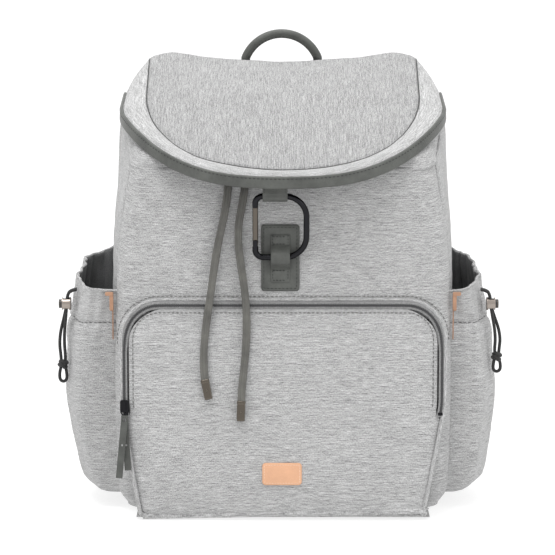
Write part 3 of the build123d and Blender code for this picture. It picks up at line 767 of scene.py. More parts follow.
# ---------------------------------------------------------------- the lid
LID_HALF, LID_REACH, LID_CURVE_Y, LID_BACK_Y = 152, 120, 20, 72.5
SEAM_HALF, SEAM_REACH = 128, 110
LID_CENTRE = [(-100, 316), (-88, 324), (-65, 338), (-30, 362), (0, 381), (30, 395), (75, 409)]
LID_SEAM = [(-100, 317), (-88, 323), (-65, 333), (-30, 353), (10, 377), (40, 392), (75, 411)]
BINDING_TALL = 10


def seam_half(y):
    if y >= LID_CURVE_Y:
        return SEAM_HALF
    return SEAM_HALF * sqrt(max(0.0, 1 - ((LID_CURVE_Y - y) / SEAM_REACH) ** 2))


def lid_height(x, y):
    """Height of the lid's padded top panel: sagging in the middle, full along the shoulders."""
    centre, seam = smooth_read(LID_CENTRE, y), smooth_read(LID_SEAM, y)
    half = max(seam_half(y), 1e-3)
    share = min(1.0, abs(x) / half)
    to_seam = half * (1 - share)
    front_gap = max(0.0, y - (LID_CURVE_Y - SEAM_REACH))
    gap = min(to_seam, front_gap)
    z = seam + (centre - seam) * (1 - share**2) ** 2.2
    z += 3.4 * ease(0, 26, gap)
    z += 5.5 * bump_at(share, 0.86, 0.22) * ease(0, 70, y)
    z -= 1.8 * np.exp(-((gap / 2.6) ** 2))
    for slope, start, depth in ((1.35, 2, 2.2), (-1.35, 2, 2.2)):
        away = abs(x - slope * (y - start)) / sqrt(1 + slope**2)
        z -= depth * np.exp(-((away / 9) ** 2)) * ease(0, 14, y - start) * (1 - ease(38, 66, y))
    away = abs((y + 4) - 0.16 * (x - 88)) + 2.2 * max(0, 40 - abs(x - 88) - 40)
    z -= 1.6 * np.exp(-((away / 5) ** 2)) * bump_at(x, 92, 30)
    z -= 2.4 * bump_at(x, -1, 44) * ease(34, 60, y)
    return z + 0.9 * wobble((x, y, 0), 46, 2.4) + 0.35 * wobble((x, y, 0), 17, 8.1)


def lid_top_plan():
    """(x, y) of the top panel's grid: straight at the back, a rounded half-disc at the front."""
    columns = np.linspace(-1, 1, 121)
    rows = []
    for y in np.linspace(LID_BACK_Y + 1.5, LID_CURVE_Y, 24, endpoint=False):
        rows.append([(SEAM_HALF * a, y) for a in columns])
    for b in np.linspace(0, 1, 64):
        rows.append([
            (SEAM_HALF * a * sqrt(1 - b * b / 2), LID_CURVE_Y - SEAM_REACH * b * sqrt(1 - a * a / 2))
            for a in columns
        ])
    return np.array(rows)


def build_lid_top():
    plan = lid_top_plan()
    grid = np.array([[(x, y, lid_height(x, y)) for x, y in row] for row in plan])
    panel = cloth("lid_top", grid, 2.6, INSIDE, plan=plan * np.array([1, 1.12]))
    # The outer skin gets the darker canvas, which is painted shade; the inner skin gets the lining.
    line_inside(panel, SHADED_LID_CLOTH)
    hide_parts("lid_top_panel", "lid_lining")
    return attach(panel, "lid")


def line_inside(obj, outer, inner=LINING):
    """The outer skin gets its cloth and the inner skin gets the lining, or the inner material given."""
    paint(obj, outer)
    obj.data.materials.append(inner)
    count = len(obj.data.vertices) // 2
    for polygon in obj.data.polygons:
        if all(v >= count for v in polygon.vertices):
            polygon.material_index = 1


def lid_stations(count_back=14, count_round=150):
    """(angle, y at the straight part or None) down the left side, round the front, and back."""
    straight = np.linspace(LID_BACK_Y, LID_CURVE_Y, count_back, endpoint=False)
    stations = [(-1, y, 0.0) for y in straight]
    for a in np.linspace(0, pi, count_round):
        side = -1 if a < pi / 2 else 1
        stations.append((side, None, a if a < pi / 2 else pi - a))
    stations += [(1, y, 0.0) for y in straight[::-1]]
    return stations


def lid_line(half, reach, stations):
    points = []
    for side, y, angle in stations:
        if y is None:
            points.append((side * half * cos(angle), LID_CURVE_Y - reach * sin(angle)))
        else:
            points.append((side * half, y))
    return np.array(points)


def binding_foot(y):
    side = 1 - max(0.0, (LID_CURVE_Y - y) / LID_REACH) ** 2
    return 305 + 52 * max(0.0, side) ** 1.5 + 13 * max(0.0, y) / LID_BACK_Y


def build_lid_edge():
    stations = lid_stations()
    seam = lid_line(SEAM_HALF, SEAM_REACH, stations)
    edge = lid_line(LID_HALF - 1.2, LID_REACH - 1.2, stations)
    seam = np.array([(x, y, lid_height(x, y) + 0.3) for x, y in seam])
    edge = np.array([(x, y, binding_foot(y) + BINDING_TALL - 1.5) for x, y in edge])
    rows = 16
    fullness = 0.04 + 0.11 * ease(70, -20, seam[:, 1:2])
    along_edge = np.gradient(edge, axis=0)
    lean = np.cross(along_edge, edge - seam)
    lean /= np.linalg.norm(lean, axis=1, keepdims=True)
    lean *= np.sign(lean[:, 2:3])
    span = np.linalg.norm(edge - seam, axis=1, keepdims=True)
    grid = np.zeros((rows, len(seam), 3))
    for r in range(rows):
        t = r / (rows - 1)
        bulge = fullness * sin(pi * t) ** 0.75
        grid[r] = seam + (edge - seam) * t + lean * span * bulge
        for c in range(len(seam)):
            grid[r, c] += lean[c] * (0.7 * wobble(grid[r, c], 24, 6.2) * sin(pi * t))
    band = cloth("lid_band_cloth", grid, 2.2, INSIDE)
    # The band's outer skin gets the lighter canvas, which is painted light.
    line_inside(band, LIT_BAND_CLOTH)
    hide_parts("lid_band")
    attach(band, "lid")

    # A thin dark tube sunk along the seam between the lid top and the band: a painted shadow line for the
    # seam's groove.
    shadow_line = sweep("lid_seam_painted_shadow", resample(seam + np.array([0, 0, 0.1]), 3), circle_profile(0.5, 8),
        (0, 0, 1))
    paint(shadow_line, THREAD_DARK)
    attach(shadow_line, "lid")

    line = lid_line(LID_HALF - 0.8, LID_REACH - 0.8, stations)
    path = np.array([(x, y, binding_foot(y) + BINDING_TALL / 2) for x, y in line])
    path = resample(path, 3)
    profile = []
    for side, up in round_profile(3.4, BINDING_TALL + 1.2, 1.6, 5):
        swell = 0.45 * bump_at(up, -4.2, 2.0) * np.sign(side)
        profile.append((side + swell, up))
    binding = sweep("lid_binding_leather", path, profile, (0, 0, 1))
    paint(binding, TRIM)
    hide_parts("lid_binding")
    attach(binding, "lid")
    side_way = path_frames(path, (0, 0, 1))[1]
    outer = side_way * np.sign((side_way * (path - np.array([0, 0, 340]))).sum(axis=1, keepdims=True))
    rows_of = path + outer * 1.75 + np.array([0, 0, 3.3])
    row = resample(rows_of, (2.6 + 1.2) / 4)
    facing = resample(rows_of + outer, (2.6 + 1.2) / 4)
    short = max(0, len(row) - len(facing))
    facing = np.pad(facing, ((0, short), (0, 0)), "edge")[: len(row)]
    paint(stitches("lid_binding_stitches", rows_of, facing - row, "lid", 2.6, 1.2, 0.42), THREAD_TRIM)


def build_hinge():
    """The strip of cloth that the lid turns on, from the back wall to the lid's back edge."""
    columns, rows = 90, 13
    grid = np.zeros((rows, columns, 3))
    for c, x in enumerate(np.linspace(-121, 121, columns)):
        top = lid_height(x, LID_BACK_Y) - 0.6
        for r in range(rows):
            t = r / (rows - 1)
            y = 76.6 - 2.6 * ease(0.35, 1, t) + 0.5 * sin(pi * t)
            grid[r, c] = (x, y, 389 + (top - 389) * t)
    strip = cloth("hinge_strip", grid, 1.6, (0, -200, 400))
    paint(strip, HEATHER)
    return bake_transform(strip)


# ---------------------------------------------------------------- closure
def front_face_y(z):
    """The body's front at its middle."""
    return smooth_read(FRONT_Y, z)


def leather_plate(
    name, x, z, y_of, thick, body, corner=2.6, dome=0.8, material=None
):
    """A rounded leather plate on a face whose y is y_of(z); its edge is rolled."""
    material = material or TRIM
    outline = rounded_outline([(x[0], z[0]), (x[1], z[0]), (x[1], z[1]), (x[0], z[1])], corner, 7)
    middle = outline.mean(axis=0)
    levels = [(1.0, 0.0), (1.0, 0.55), (0.985, 0.85), (0.955, 1.0), (0.8, 1.0), (0.5, 1.0), (0.2, 1.0),
        (0.01, 1.0)]
    grid = []
    for share, lift in levels:
        ring = middle + (outline - middle) * share
        grid.append([(px, y_of(pz) - lift * thick - dome * (1 - share) * 0.6, pz) for px, pz in ring])
    grid = np.array(grid)
    rows, cols, _ = grid.shape
    faces = []
    for r in range(rows - 1):
        for c in range(cols):
            d = (c + 1) % cols
            faces.append([r * cols + c, r * cols + d, (r + 1) * cols + d, (r + 1) * cols + c])
    faces.append([(rows - 1) * cols + c for c in range(cols)])
    faces.append([c for c in range(cols)][::-1])
    plate = make_mesh(name, grid.reshape(-1, 3), faces)
    fix_normals(plate)
    paint(plate, material)
    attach(plate, body)
    return plate


def outline_stitches(name, x, z, inset, y_of, body, material, length=2.4, gap=1.1, thick=0.3):
    corners = [(x[0] + inset, z[0] + inset), (x[1] - inset, z[0] + inset),
               (x[1] - inset, z[1] - inset), (x[0] + inset, z[1] - inset)]
    ring = rounded_outline(corners, 1.6, 4)
    ring = np.concatenate([ring, ring[:1]])
    path = [(px, y_of(pz), pz) for px, pz in ring]
    paint(stitches(name, path, (0, -1, 0), body, length, gap, thick), material)


def build_patch_and_strap():
    low, high = box_mm("catch_patch")
    x, z = (low[0], high[0]), (low[2], high[2])
    patch = leather_plate("catch_patch_leather", x, z, lambda h: front_face_y(h) - 1.2, 2.2, "bag", 3.0, 0.2)
    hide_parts("catch_patch")
    outline_stitches("catch_patch_stitches", x, z, 2.4, lambda h: front_face_y(h) - 3.6, "bag", THREAD_TRIM)

    strap_x = (-11.2, 6.2)
    centre = sum(strap_x) / 2
    line = [(-63.2, 258.5), (-64.1, 254), (-64.8, 249.5), (-69.6, 246), (-73.4, 242), (-74.2, 238.2),
        (-73.4, 234.2),
            (-69.4, 230.6), (-65.0, 227), (-64.4, 222), (-64.4, 215.5)]
    places = np.linspace(0, 1, 60)
    index = np.linspace(0, 1, len(line))
    ys = [smooth_read(list(zip(index, [p[0] for p in line])), t) for t in places]
    zs = [smooth_read(list(zip(index, [p[1] for p in line])), t) for t in places]
    path = np.array([(centre, y + 0.6, z) for y, z in zip(ys, zs)])
    band = sweep("catch_strap_leather", path, round_profile(strap_x[1] - strap_x[0], 1.9, 0.8, 4),
        (0, -1, 0.001))
    paint(band, TRIM)
    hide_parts("catch_strap")
    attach(band, "bag")
    for side in (-1, 1):
        edge = path + np.array([side * (strap_x[1] - strap_x[0] - 3.4) / 2, -1.05, 0])
        for part, run in (("upper", edge[:15]), ("lower", edge[-15:])):
            name = f"catch_strap_stitches_{part}_{'left' if side < 0 else 'right'}"
            paint(stitches(name, run, (0, -1, 0.001), "bag", 2.0, 0.9, 0.34), THREAD_TRIM)
    for label_name, z_line, y_line in (("top", 257.2, -64.2), ("low", 217.2, -64.9),
        ("mid_top", 250.6, -65.2),
                                       ("mid_low", 226.2, -65.6)):
        run = [(strap_x[0] + 1.7, y_line, z_line), (strap_x[1] - 1.7, y_line, z_line)]
        paint(stitches(f"catch_strap_row_{label_name}", run, (0, -1, 0), "bag", 2.0, 0.9, 0.4), THREAD_TRIM)


def build_clip():
    """The clip's frame, rivet and gate are the CAD parts, in metal."""
    for name in ("clip_frame", "clip_rivet"):
        dress(name, GUNMETAL)
    dress("clip_gate", NICKEL)


def dress(name, material):
    """A CAD part shown as it is, in a material of its own."""
    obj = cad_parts[name]
    if not obj.material_slots:
        obj.data.materials.append(material)
    for material_slot in obj.material_slots:
        material_slot.material = material
    if hasattr(obj.data, "polygons"):
        soften(obj)


def soften(obj):
    """Smooth shading on every face."""
    for polygon in obj.data.polygons:
        polygon.use_smooth = True


def build_loop():
    """A folded leather strap from under the binding, round the clip's top bar, stitched below."""
    low, high = box_mm("lid_loop")
    top_y, top_z = -80, 296
    radius = 4.3
    front = [(-97.0, 312.5), (-96.2, 309.5), (-92.6, 305.6), (-88.2, 302.2), (-84.8, 299.0)]
    back = [(-77.2, 300.6), (-82.2, 304.4), (-88.6, 308.6), (-94.2, 312.0)]
    line = front + [
        (top_y + radius * cos(radians(a)), top_z + radius * sin(radians(a))) for a in range(170, 405, 12)
    ] + back
    centre = (low[0] + high[0]) / 2
    path = resample(np.array([(centre, y, z) for y, z in line]), 0.8)
    band = sweep("lid_loop_leather", path, round_profile(high[0] - low[0], 1.7, 0.75, 4),
        path_up(path, (centre, top_y, top_z)))
    paint(band, TRIM)
    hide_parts("lid_loop")
    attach(band, "lid")
    for side in (-1, 1):
        row = [(centre + side * ((high[0] - low[0]) / 2 - 1.7), y - 0.75, z - 0.55) for y, z in front]
        name = f"lid_loop_stitches_{'left' if side < 0 else 'right'}"
        paint(stitches(name, row, (0, -0.72, -0.69), "lid", 1.8, 0.9, 0.26), THREAD_TRIM)


def path_up(path, centre):
    """Up vectors that point away from a centre, in the plane across X."""
    away = path - np.array(centre)
    away[:, 0] = 0
    return away / np.maximum(np.linalg.norm(away, axis=1, keepdims=True), 1e-9)


# ---------------------------------------------------------------- front pocket
POCKET_CORNERS = [(-131, 1.5), (131, 1.5), (149, 105), (150, 200), (-150, 200), (-149, 105)]
POCKET_RADII = [8, 8, 60, 36, 36, 60]
POCKET_FACE = [(1.5, -90.5), (6, -93.6), (14, -94.6), (46, -93.0), (100, -83.6), (150, -74.8), (190, -67.4),
               (197, -65.6), (203, -60)]
ZIP_BOTTOM = 98
TAPE_OUTER, TAPE_INNER = 2.6, 9.2
TEETH_AT = 5.8


def pocket_y(z):
    return smooth_read(POCKET_FACE, z)


POCKET_RING = rounded_outline(POCKET_CORNERS, POCKET_RADII, 12)


def pocket_half(z, inset=0.0):
    """Half-width of the pocket's outline at a height, measured in from it."""
    ring = POCKET_RING[POCKET_RING[:, 0] > 0]
    ring = ring[np.argsort(ring[:, 1])]
    return float(np.interp(z, ring[:, 1], ring[:, 0])) - inset


def pocket_rail(inset, low_z=ZIP_BOTTOM, step=2.0):
    """The outline, inset, from low on the left side over the top and down the right."""
    ring = POCKET_RING
    start = int(np.argmin(ring[:, 1] + 1000 * (ring[:, 0] > 0)))
    ring = np.roll(ring, -start, 0)[::-1]
    closed = np.concatenate([ring, ring[:1]])
    tangent = np.gradient(closed, axis=0)
    tangent /= np.maximum(np.linalg.norm(tangent, axis=1, keepdims=True), 1e-9)
    inward = np.stack([tangent[:, 1], -tangent[:, 0]], axis=1)
    centre = np.array([0, 100.0])
    inward *= np.sign((inward * (centre - closed)).sum(axis=1, keepdims=True))
    inset_ring = closed + inward * inset
    keep = inset_ring[:, 1] >= low_z
    run = inset_ring[keep]
    order = np.argsort(np.arctan2(run[:, 1] - 60, -run[:, 0]))
    run = run[order]
    ends = [np.array([-pocket_half(low_z, inset), low_z]), np.array([pocket_half(low_z, inset), low_z])]
    run = np.concatenate([[ends[0]], run, [ends[1]]])
    flat = resample(np.stack([run[:, 0], np.zeros(len(run)), run[:, 1]], axis=1), step)
    return np.array([(x, pocket_y(z), z) for x, _, z in flat])


def face_out(z):
    slope = (pocket_y(z + 2) - pocket_y(z - 2)) / 4
    return np.array([0, -1, slope]) / sqrt(1 + slope**2)


def panel_inset(z):
    """How far in from the outline the pocket's panel ends: at the tape, or at the gusset below it."""
    return 1.4 + (TAPE_INNER - 0.6 - 1.4) * float(ease(ZIP_BOTTOM - 10, ZIP_BOTTOM + 2, z))


def build_pocket_panel():
    heights = np.concatenate([
        np.linspace(2.0, 24, 18, endpoint=False), np.linspace(24, 160, 60, endpoint=False),
        160 + 31.4 * np.sin(np.linspace(0, pi / 2, 34)),
    ])
    columns = 150
    grid = np.zeros((len(heights), columns, 3))
    for r, z in enumerate(heights):
        half = pocket_half(z + (8.2 if z > 150 else 0) * ease(150, 190, z), panel_inset(z))
        for c, u in enumerate(np.linspace(-1, 1, columns)):
            u = sin(u * pi / 2) * 0.35 + u * 0.65
            x = half * u
            to_edge = min(half - abs(x), max(0.0, 192.0 - z), 400.0)
            puff = 3.2 * ease(0, 34, to_edge) * ease(-6, 40, z) + 0.9 * ease(0, 6, to_edge)
            wrinkle = 1.0 * wobble((x, 0, z * 0.7), 52, 5.5) + 0.4 * wobble((x, 0, z), 18, 1.1)
            edge_round = 2.6 * np.exp(-(((half - abs(x)) / 5.0) ** 2)) * (1 - ease(85, 100, z))
            low_round = 4.5 * (1 - ease(0, 12, z)) ** 2
            lift = puff + wrinkle * ease(0, 14, to_edge) - edge_round - low_round
            grid[r, c] = np.array([x, pocket_y(z), z]) + face_out(z) * lift
    panel = cloth("pocket_front_cloth", grid, 2.2, (0, 200, 100))
    paint(panel, HEATHER)
    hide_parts("pocket_panel")
    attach(panel, "bag")
    row = pocket_rail(TAPE_INNER + 3.2, ZIP_BOTTOM + 4)
    row = row + np.array([face_out(p[2]) for p in row]) * 1.3
    outward_row = np.array([face_out(p[2]) for p in resample(row, (2.2 + 1.8) / 4)])
    paint(stitches("pocket_topstitch", row, outward_row, "bag", 2.2, 1.8, 0.42), THREAD_PALE)
    row = pocket_rail(-2.2, ZIP_BOTTOM + 60)
    row = np.array([(p[0], front_face_y(p[2]) - 2.6, p[2]) for p in row])
    paint(stitches("pocket_outer_topstitch", row, (0, -1, 0.02), "bag", 2.2, 1.8, 0.42), THREAD_PALE)


def build_gusset():
    """The pocket's side strip: from the tape's outer edge over a piped edge and back to the body."""
    rail = pocket_rail(0.0, 2.5, 2.4)
    profile = [(3.4, -0.6), (2.4, 0.9), (0.9, 1.2), (-0.4, 0.4), (-0.6, -1.4), (-0.2, -3.2), (0.1, -8),
        (0.4, -16),
               (0.6, -26), (0.8, -38)]
    centre = np.array([0, 0, 95.0])
    tangent = np.gradient(rail, axis=0)
    tangent /= np.linalg.norm(tangent, axis=1, keepdims=True)
    grid = np.zeros((len(profile), len(rail), 3))
    for c, point in enumerate(rail):
        out = np.array([0, -1.0, 0])
        inward = np.cross(tangent[c], out)
        inward /= np.linalg.norm(inward)
        inward *= np.sign(inward @ (centre - point))
        for r, (inset, rise) in enumerate(profile):
            rib = 0.5 * wobble((c * 2.4, r * 4, 0), 20, 3.3) if r > 3 else 0
            place = point + inward * (inset + rib) + out * rise
            place[1] = min(place[1], -57.5 if point[2] < 200 else -58)
            grid[r, c] = place
    strip = cloth("pocket_side_strip", grid, 1.6, (0, -60, 95))
    paint(strip, HEATHER)
    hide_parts("pocket_gusset")
    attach(strip, "bag")
    bottom = []
    for r, y in enumerate(np.linspace(-91, -52, 10)):
        bottom.append([(x, y, 2.2 + 0.5 * ease(-91, -70, y)) for x in np.linspace(-134, 134, 60)])
    base = cloth("pocket_bottom", np.array(bottom), 1.2, (0, -70, 100))
    paint(base, HEATHER)
    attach(base, "bag")


def leg_share(x, z):
    """0 along the pocket's top and 1 down its sides, where the zip turns to face sideways."""
    return float(ease(176, 150, z)) * float(ease(110, 138, abs(x)))


def build_zipper():
    rows = []
    for inset, rise in ((TAPE_OUTER - 0.6, 0.2), (3.6, 0.55), (5.0, 0.7), (6.6, 0.7), (8.2, 0.55),
        (TAPE_INNER, 0.1)):
        rail = resample_to(pocket_rail(inset, ZIP_BOTTOM - 4), 260)
        row = []
        for point in rail:
            side = leg_share(point[0], point[2])
            lift = rise + side * 0.12 * (inset - TAPE_OUTER)
            shift = np.array([np.sign(point[0]) * side * 0.30 * (inset - TAPE_OUTER), 0, 0])
            row.append(point + face_out(point[2]) * lift + shift)
        rows.append(row)
    tape = cloth("zipper_tape_cloth", np.array(rows), 0.7, (0, 200, 100))
    paint(tape, TAPE)
    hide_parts("zipper_tape")
    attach(tape, "bag")
    rail = resample(pocket_rail(TEETH_AT, ZIP_BOTTOM + 1), 1.65)
    sides = np.array([leg_share(p[0], p[2]) for p in rail])
    ups = np.array([face_out(p[2]) for p in rail])
    ups += np.stack([np.sign(rail[:, 0]) * sides * 0.6, sides * 0, sides * 0], axis=1)
    ups /= np.linalg.norm(ups, axis=1, keepdims=True)
    rail = rail + np.array([face_out(p[2]) for p in rail]) * (sides * 0.2)[:, None]
    rail[:, 0] += np.sign(rail[:, 0]) * sides * 1.0
    tangent, side, over = path_frames(rail, ups)
    points, faces = [], []
    for i in range(len(rail)):
        hand = 1 if i % 2 else -1
        for along, across_, up in TOOTH:
            points.append(rail[i] + tangent[i] * along + side[i] * hand * across_ + over[i] * (up + 0.8))
        base = i * len(TOOTH)
        faces += [[base + v for v in face] for face in TOOTH_FACES]
    teeth = make_mesh("zipper_coil_teeth", points, faces)
    fix_normals(teeth)
    paint(teeth, TEETH)
    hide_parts("zipper_teeth")
    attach(teeth, "bag")
    core = sweep("zipper_coil_core", rail + ups * 0.8, round_profile(1.5, 0.9, 0.35, 3), ups)
    paint(core, TEETH)
    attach(core, "bag")
    for side, place in (("left", rail[0]), ("right", rail[-1])):
        leather_plate(f"zip_stop_{side}", (place[0] - 2.2, place[0] + 2.2),
            (place[2] - 3.4, place[2] - 0.6),
                             lambda h: pocket_y(h) - 0.6, 1.2, "bag", 0.9, 0.0, GUNMETAL)


def resample_to(path, count):
    path = np.asarray(path, float)
    lengths = np.concatenate([[0], np.cumsum(np.linalg.norm(np.diff(path, axis=0), axis=1))])
    places = np.linspace(0, lengths[-1], count)
    return np.stack([np.interp(places, lengths, path[:, k]) for k in range(3)], axis=1)


TOOTH = []
for across_at, half_long, tall in ((-1.45, 0.34, 0.35), (-0.9, 0.5, 0.85), (0.6, 0.5, 0.95),
    (1.3, 0.42, 0.5)):
    TOOTH += [(-half_long, across_at, 0.0), (half_long, across_at, 0.0), (half_long * 0.7, across_at, tall),
              (-half_long * 0.7, across_at, tall)]
TOOTH_FACES = [[0, 1, 2, 3], [15, 14, 13, 12]]
for ring_start in (0, 4, 8):
    for corner in range(4):
        a, b = ring_start + corner, ring_start + (corner + 1) % 4
        TOOTH_FACES.append([a, b, b + 4, a + 4])


def build_zip_pull():
    dress("zip_slider", GUNMETAL)
    dress("zip_ring", GUNMETAL)
    for name in ("zip_tail_short", "zip_tail_long"):
        dress(name, TRIM)


def build_label():
    low, high = box_mm("label")
    x, z = (low[0], high[0]), (low[2], high[2])

    def face(h):
        return pocket_y(h) - 4.1 - 1.0 * wobble((0, 0, h * 0.7), 52, 5.5) - 0.2
    plate = leather_plate("label_leather_plate", x, z, face, 1.5, "bag", 3.2, 0.0, LABEL)
    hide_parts("label")
    outline_stitches("label_stitches", x, z, 1.9, lambda h: face(h) - 1.6, "bag", THREAD_PEACH, 1.7, 0.8,
        0.24)


# ---------------------------------------------------------------- side pockets
SIDE_REACH = {
    "left": [(16, 184), (24, 190), (47, 197), (70, 202), (107, 206), (160, 202), (207, 195), (232, 191)],
    "right": [(16, 182), (24, 190), (47, 195), (70, 198), (107, 201), (160, 195), (207, 187), (232, 183)],
}
HEM_Z, HEM_TOP_FRONT, HEM_TOP_RISE = 175, 205, 0.18


def side_section(reach, columns):
    """Half a pocket's plan as (outward, y), front to back."""
    corners = [(100, -49), (reach - 14, -46.5), (reach, -6), (reach - 3, 46), (reach - 15, 66), (100, 70)]
    ring = rounded_outline(corners, 9, 8)
    ring = ring[(ring[:, 0] > 118)]
    ring = ring[np.argsort(np.arctan2(ring[:, 1] - 10, ring[:, 0] - 110))]
    ring = np.concatenate([[(136.0, -48.5)], ring[ring[:, 0] > 140], [(140.0, 69.5)]])
    lengths = np.concatenate([[0], np.cumsum(np.linalg.norm(np.diff(ring, axis=0), axis=1))])
    places = np.linspace(0, lengths[-1], columns)
    return np.stack([np.interp(places, lengths, ring[:, k]) for k in range(2)], axis=1)


def side_wrinkles(share, z, y, sign):
    """Outward swell of a side pocket's cloth: slack folds, a pinched hem line and a puffed hem."""
    hem = float(ease(HEM_Z - 4, HEM_Z + 4, z))
    low = float(ease(20, 60, z))
    across_it = share * 330
    folds = 2.4 * wobble((across_it, z * 0.6 + across_it * 0.35, 30 * sign), 44, 6.4) * low
    fine = 1.0 * wobble((across_it * 0.55, z + across_it * 0.25, 30 * sign), 15, 3.1) * (0.45 + 0.55 * hem)
    gather = 1.2 * sin(2 * pi * (share * 15 + 1.3 * wobble((across_it, z * 0.3, 0), 60, 2.0 + sign)))
    gather *= float(ease(HEM_Z - 40, HEM_Z, z)) * (0.45 + 0.55 * float(ease(-30, 20, y)))
    groove = 1.6 * float(bump_at(z, HEM_Z, 1.5))
    slack = 1.8 * float(bump_at(z, HEM_Z - 13, 11)) + 0.8 * float(bump_at(z, HEM_Z + 14, 11))
    slant = abs((z - 168) - 0.62 * (across_it - 120)) / 1.18
    crease = 1.9 * float(bump_at(slant, 0, 5)) * float(bump_at(across_it, 128, 34))
    return folds + fine + gather - groove + slack - crease - 0.8


def build_side_pocket(side):
    sign = SIDES[side]
    table = SIDE_REACH[side]
    columns = 190
    y_guides = side_section(table[-2][1], columns)[:, 1]
    body_rows = np.linspace(19, HEM_Z - 2, 66)
    hem_rows = np.linspace(0, 1, 17)
    low_rows = [(15.5, -27.0), (15.3, -14), (15.5, -5), (16.6, -1.2)]
    count = len(low_rows) + len(body_rows) + 4 + len(hem_rows)
    grid = np.zeros((count, columns, 3))
    for c in range(columns):
        share = c / (columns - 1)
        live = float(ease(0, 0.06, share) * (1 - ease(0.94, 1, share)))
        y_guide = y_guides[c]
        top = HEM_TOP_FRONT + HEM_TOP_RISE * (y_guide + 50)
        top += 3.0 * wobble((share * 240, 0, 50 * sign), 30, 1.7) * live
        top += 12 * float(ease(0.80, 0.97, share))
        heights = low_rows + [(z, 0.0) for z in body_rows]
        heights += [(z, 0.0) for z in (HEM_Z - 1, HEM_Z, HEM_Z + 1, HEM_Z + 2.2)]
        heights += [(HEM_Z + 4 + (top - HEM_Z - 4) * t, 0.0) for t in hem_rows]
        for r, (z, inwards) in enumerate(heights):
            reach = smooth_read(table, z) + inwards
            section, normal = side_station(round(max(reach, 154) * 4) / 4, columns)
            lift = live * side_wrinkles(share, z, y_guide, sign)
            x, y = section[c] + normal[c] * lift
            grid[r, c] = (sign * x, y, z)
    pocket = cloth(f"side_pocket_cloth_{side}", grid, 2.2, (sign * 120, 10, 110))
    # The inner skin is a dark cloth: painted shade for the heather cloth inside the pocket.
    line_inside(pocket, HEATHER, SHADED_POUCH_CLOTH)
    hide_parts(f"side_pocket_{side}", f"side_pocket_hem_{side}")
    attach(pocket, "bag")
    rim = sweep(f"side_rim_{side}", resample(grid[-1] + np.array([-sign * 1.1, 0, 0]), 2.4),
        circle_profile(1.3, 10),
                (0, 0, 1))
    paint(rim, HEATHER)
    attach(rim, "bag")
    seam_row = len(low_rows) + len(body_rows) + 1
    seam = grid[seam_row, 8:-8] + outward_row(grid[seam_row, 8:-8], sign) * 0.3
    steps = resample(seam, (3.0 + 1.5) / 4)
    paint(stitches(f"side_hem_stitches_{side}", seam, outward_row(steps, sign), "bag", 3.0, 1.5, 0.3),
        THREAD_DARK)


STATIONS = {}


def side_station(reach, columns):
    """A pocket's plan and its outward directions at one reach."""
    if (reach, columns) not in STATIONS:
        section = side_section(reach, columns)
        tangent = np.gradient(section, axis=0)
        tangent /= np.linalg.norm(tangent, axis=1, keepdims=True)
        STATIONS[(reach, columns)] = section, np.stack([tangent[:, 1], -tangent[:, 0]], axis=1)
    return STATIONS[(reach, columns)]


def outward_row(path, sign):
    away = np.asarray(path, float) - np.array([sign * 120.0, 10, 0])
    away[:, 2] = 0
    return away / np.linalg.norm(away, axis=1, keepdims=True)


def build_tabs():
    """Tan leather edges at the front corners of the side pockets' hems."""
    for side, sign in SIDES.items():
        edge = sorted((sign * 156.0, sign * 159.6))
        upright = leather_plate(f"pocket_tab_{side}", edge, (187, 203.8), lambda h: -50.5, 3.0, "bag", 1.2,
            0.0,
                                TAN)
        top = sorted((sign * 156.0, sign * 163.6))
        leather_plate(f"pocket_tab_top_{side}", top, (201.2, 204.6), lambda h: -50.8, 3.2, "bag", 1.2, 0.0,
            TAN)
        strip = sorted((sign * 156.2, sign * 157.2))
        leather_plate(f"pocket_tab_strip_{side}", strip, (160, 188.5), lambda h: -50.0, 1.8, "bag", 0.6,
            0.0, TAN)
        if side == "right":
            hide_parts("pocket_tabs")


# ---------------------------------------------------------------- cords
def spline_points(name, points, resolution=14):
    """Points read along one smooth curve through the route's control points."""
    curve = bpy.data.curves.new(name, "CURVE")
    curve.dimensions = "3D"
    curve.resolution_u = resolution
    fill_spline(curve, points)
    obj = bpy.data.objects.new(name, curve)
    bpy.context.collection.objects.link(obj)
    bpy.context.view_layer.update()
    line = bpy.data.meshes.new_from_object(obj)
    path = np.array([v.co for v in line.vertices]) / MM
    bpy.data.objects.remove(obj)
    bpy.data.curves.remove(curve)
    bpy.data.meshes.remove(line)
    return path


def fill_spline(curve, points):
    spline = curve.splines.new("NURBS")
    spline.points.add(len(points) - 1)
    for place, point in zip(spline.points, points):
        place.co = (*(c * MM for c in point), 1)
    spline.order_u = 3
    spline.use_endpoint_u = True
    return spline


DRAWSTRING_ROUTES = {
    "left": [
        (-50, -59.3, 303.6), (-51.3, -62.6, 288), (-55, -65.2, 270), (-59.5, -66, 250), (-63, -68, 228),
        (-66, -72.5, 205), (-69.5, -76.8, 183), (-72, -80.5, 160), (-72.3, -84.5, 141), (-71, -87.3, 128),
    ],
    "right": [
        (-34.5, -59.3, 303.6), (-36.8, -62.6, 288), (-40.5, -65.2, 270), (-41, -66, 250), (-38, -68.2, 229),
        (-34.5, -72.6, 206), (-33, -76.8, 184), (-33.5, -80.8, 161), (-35.6, -85, 138), (-37.6, -88.6, 121),
        (-38, -91, 109),
    ],
}
DRAWSTRING_WIDTH = 7.0


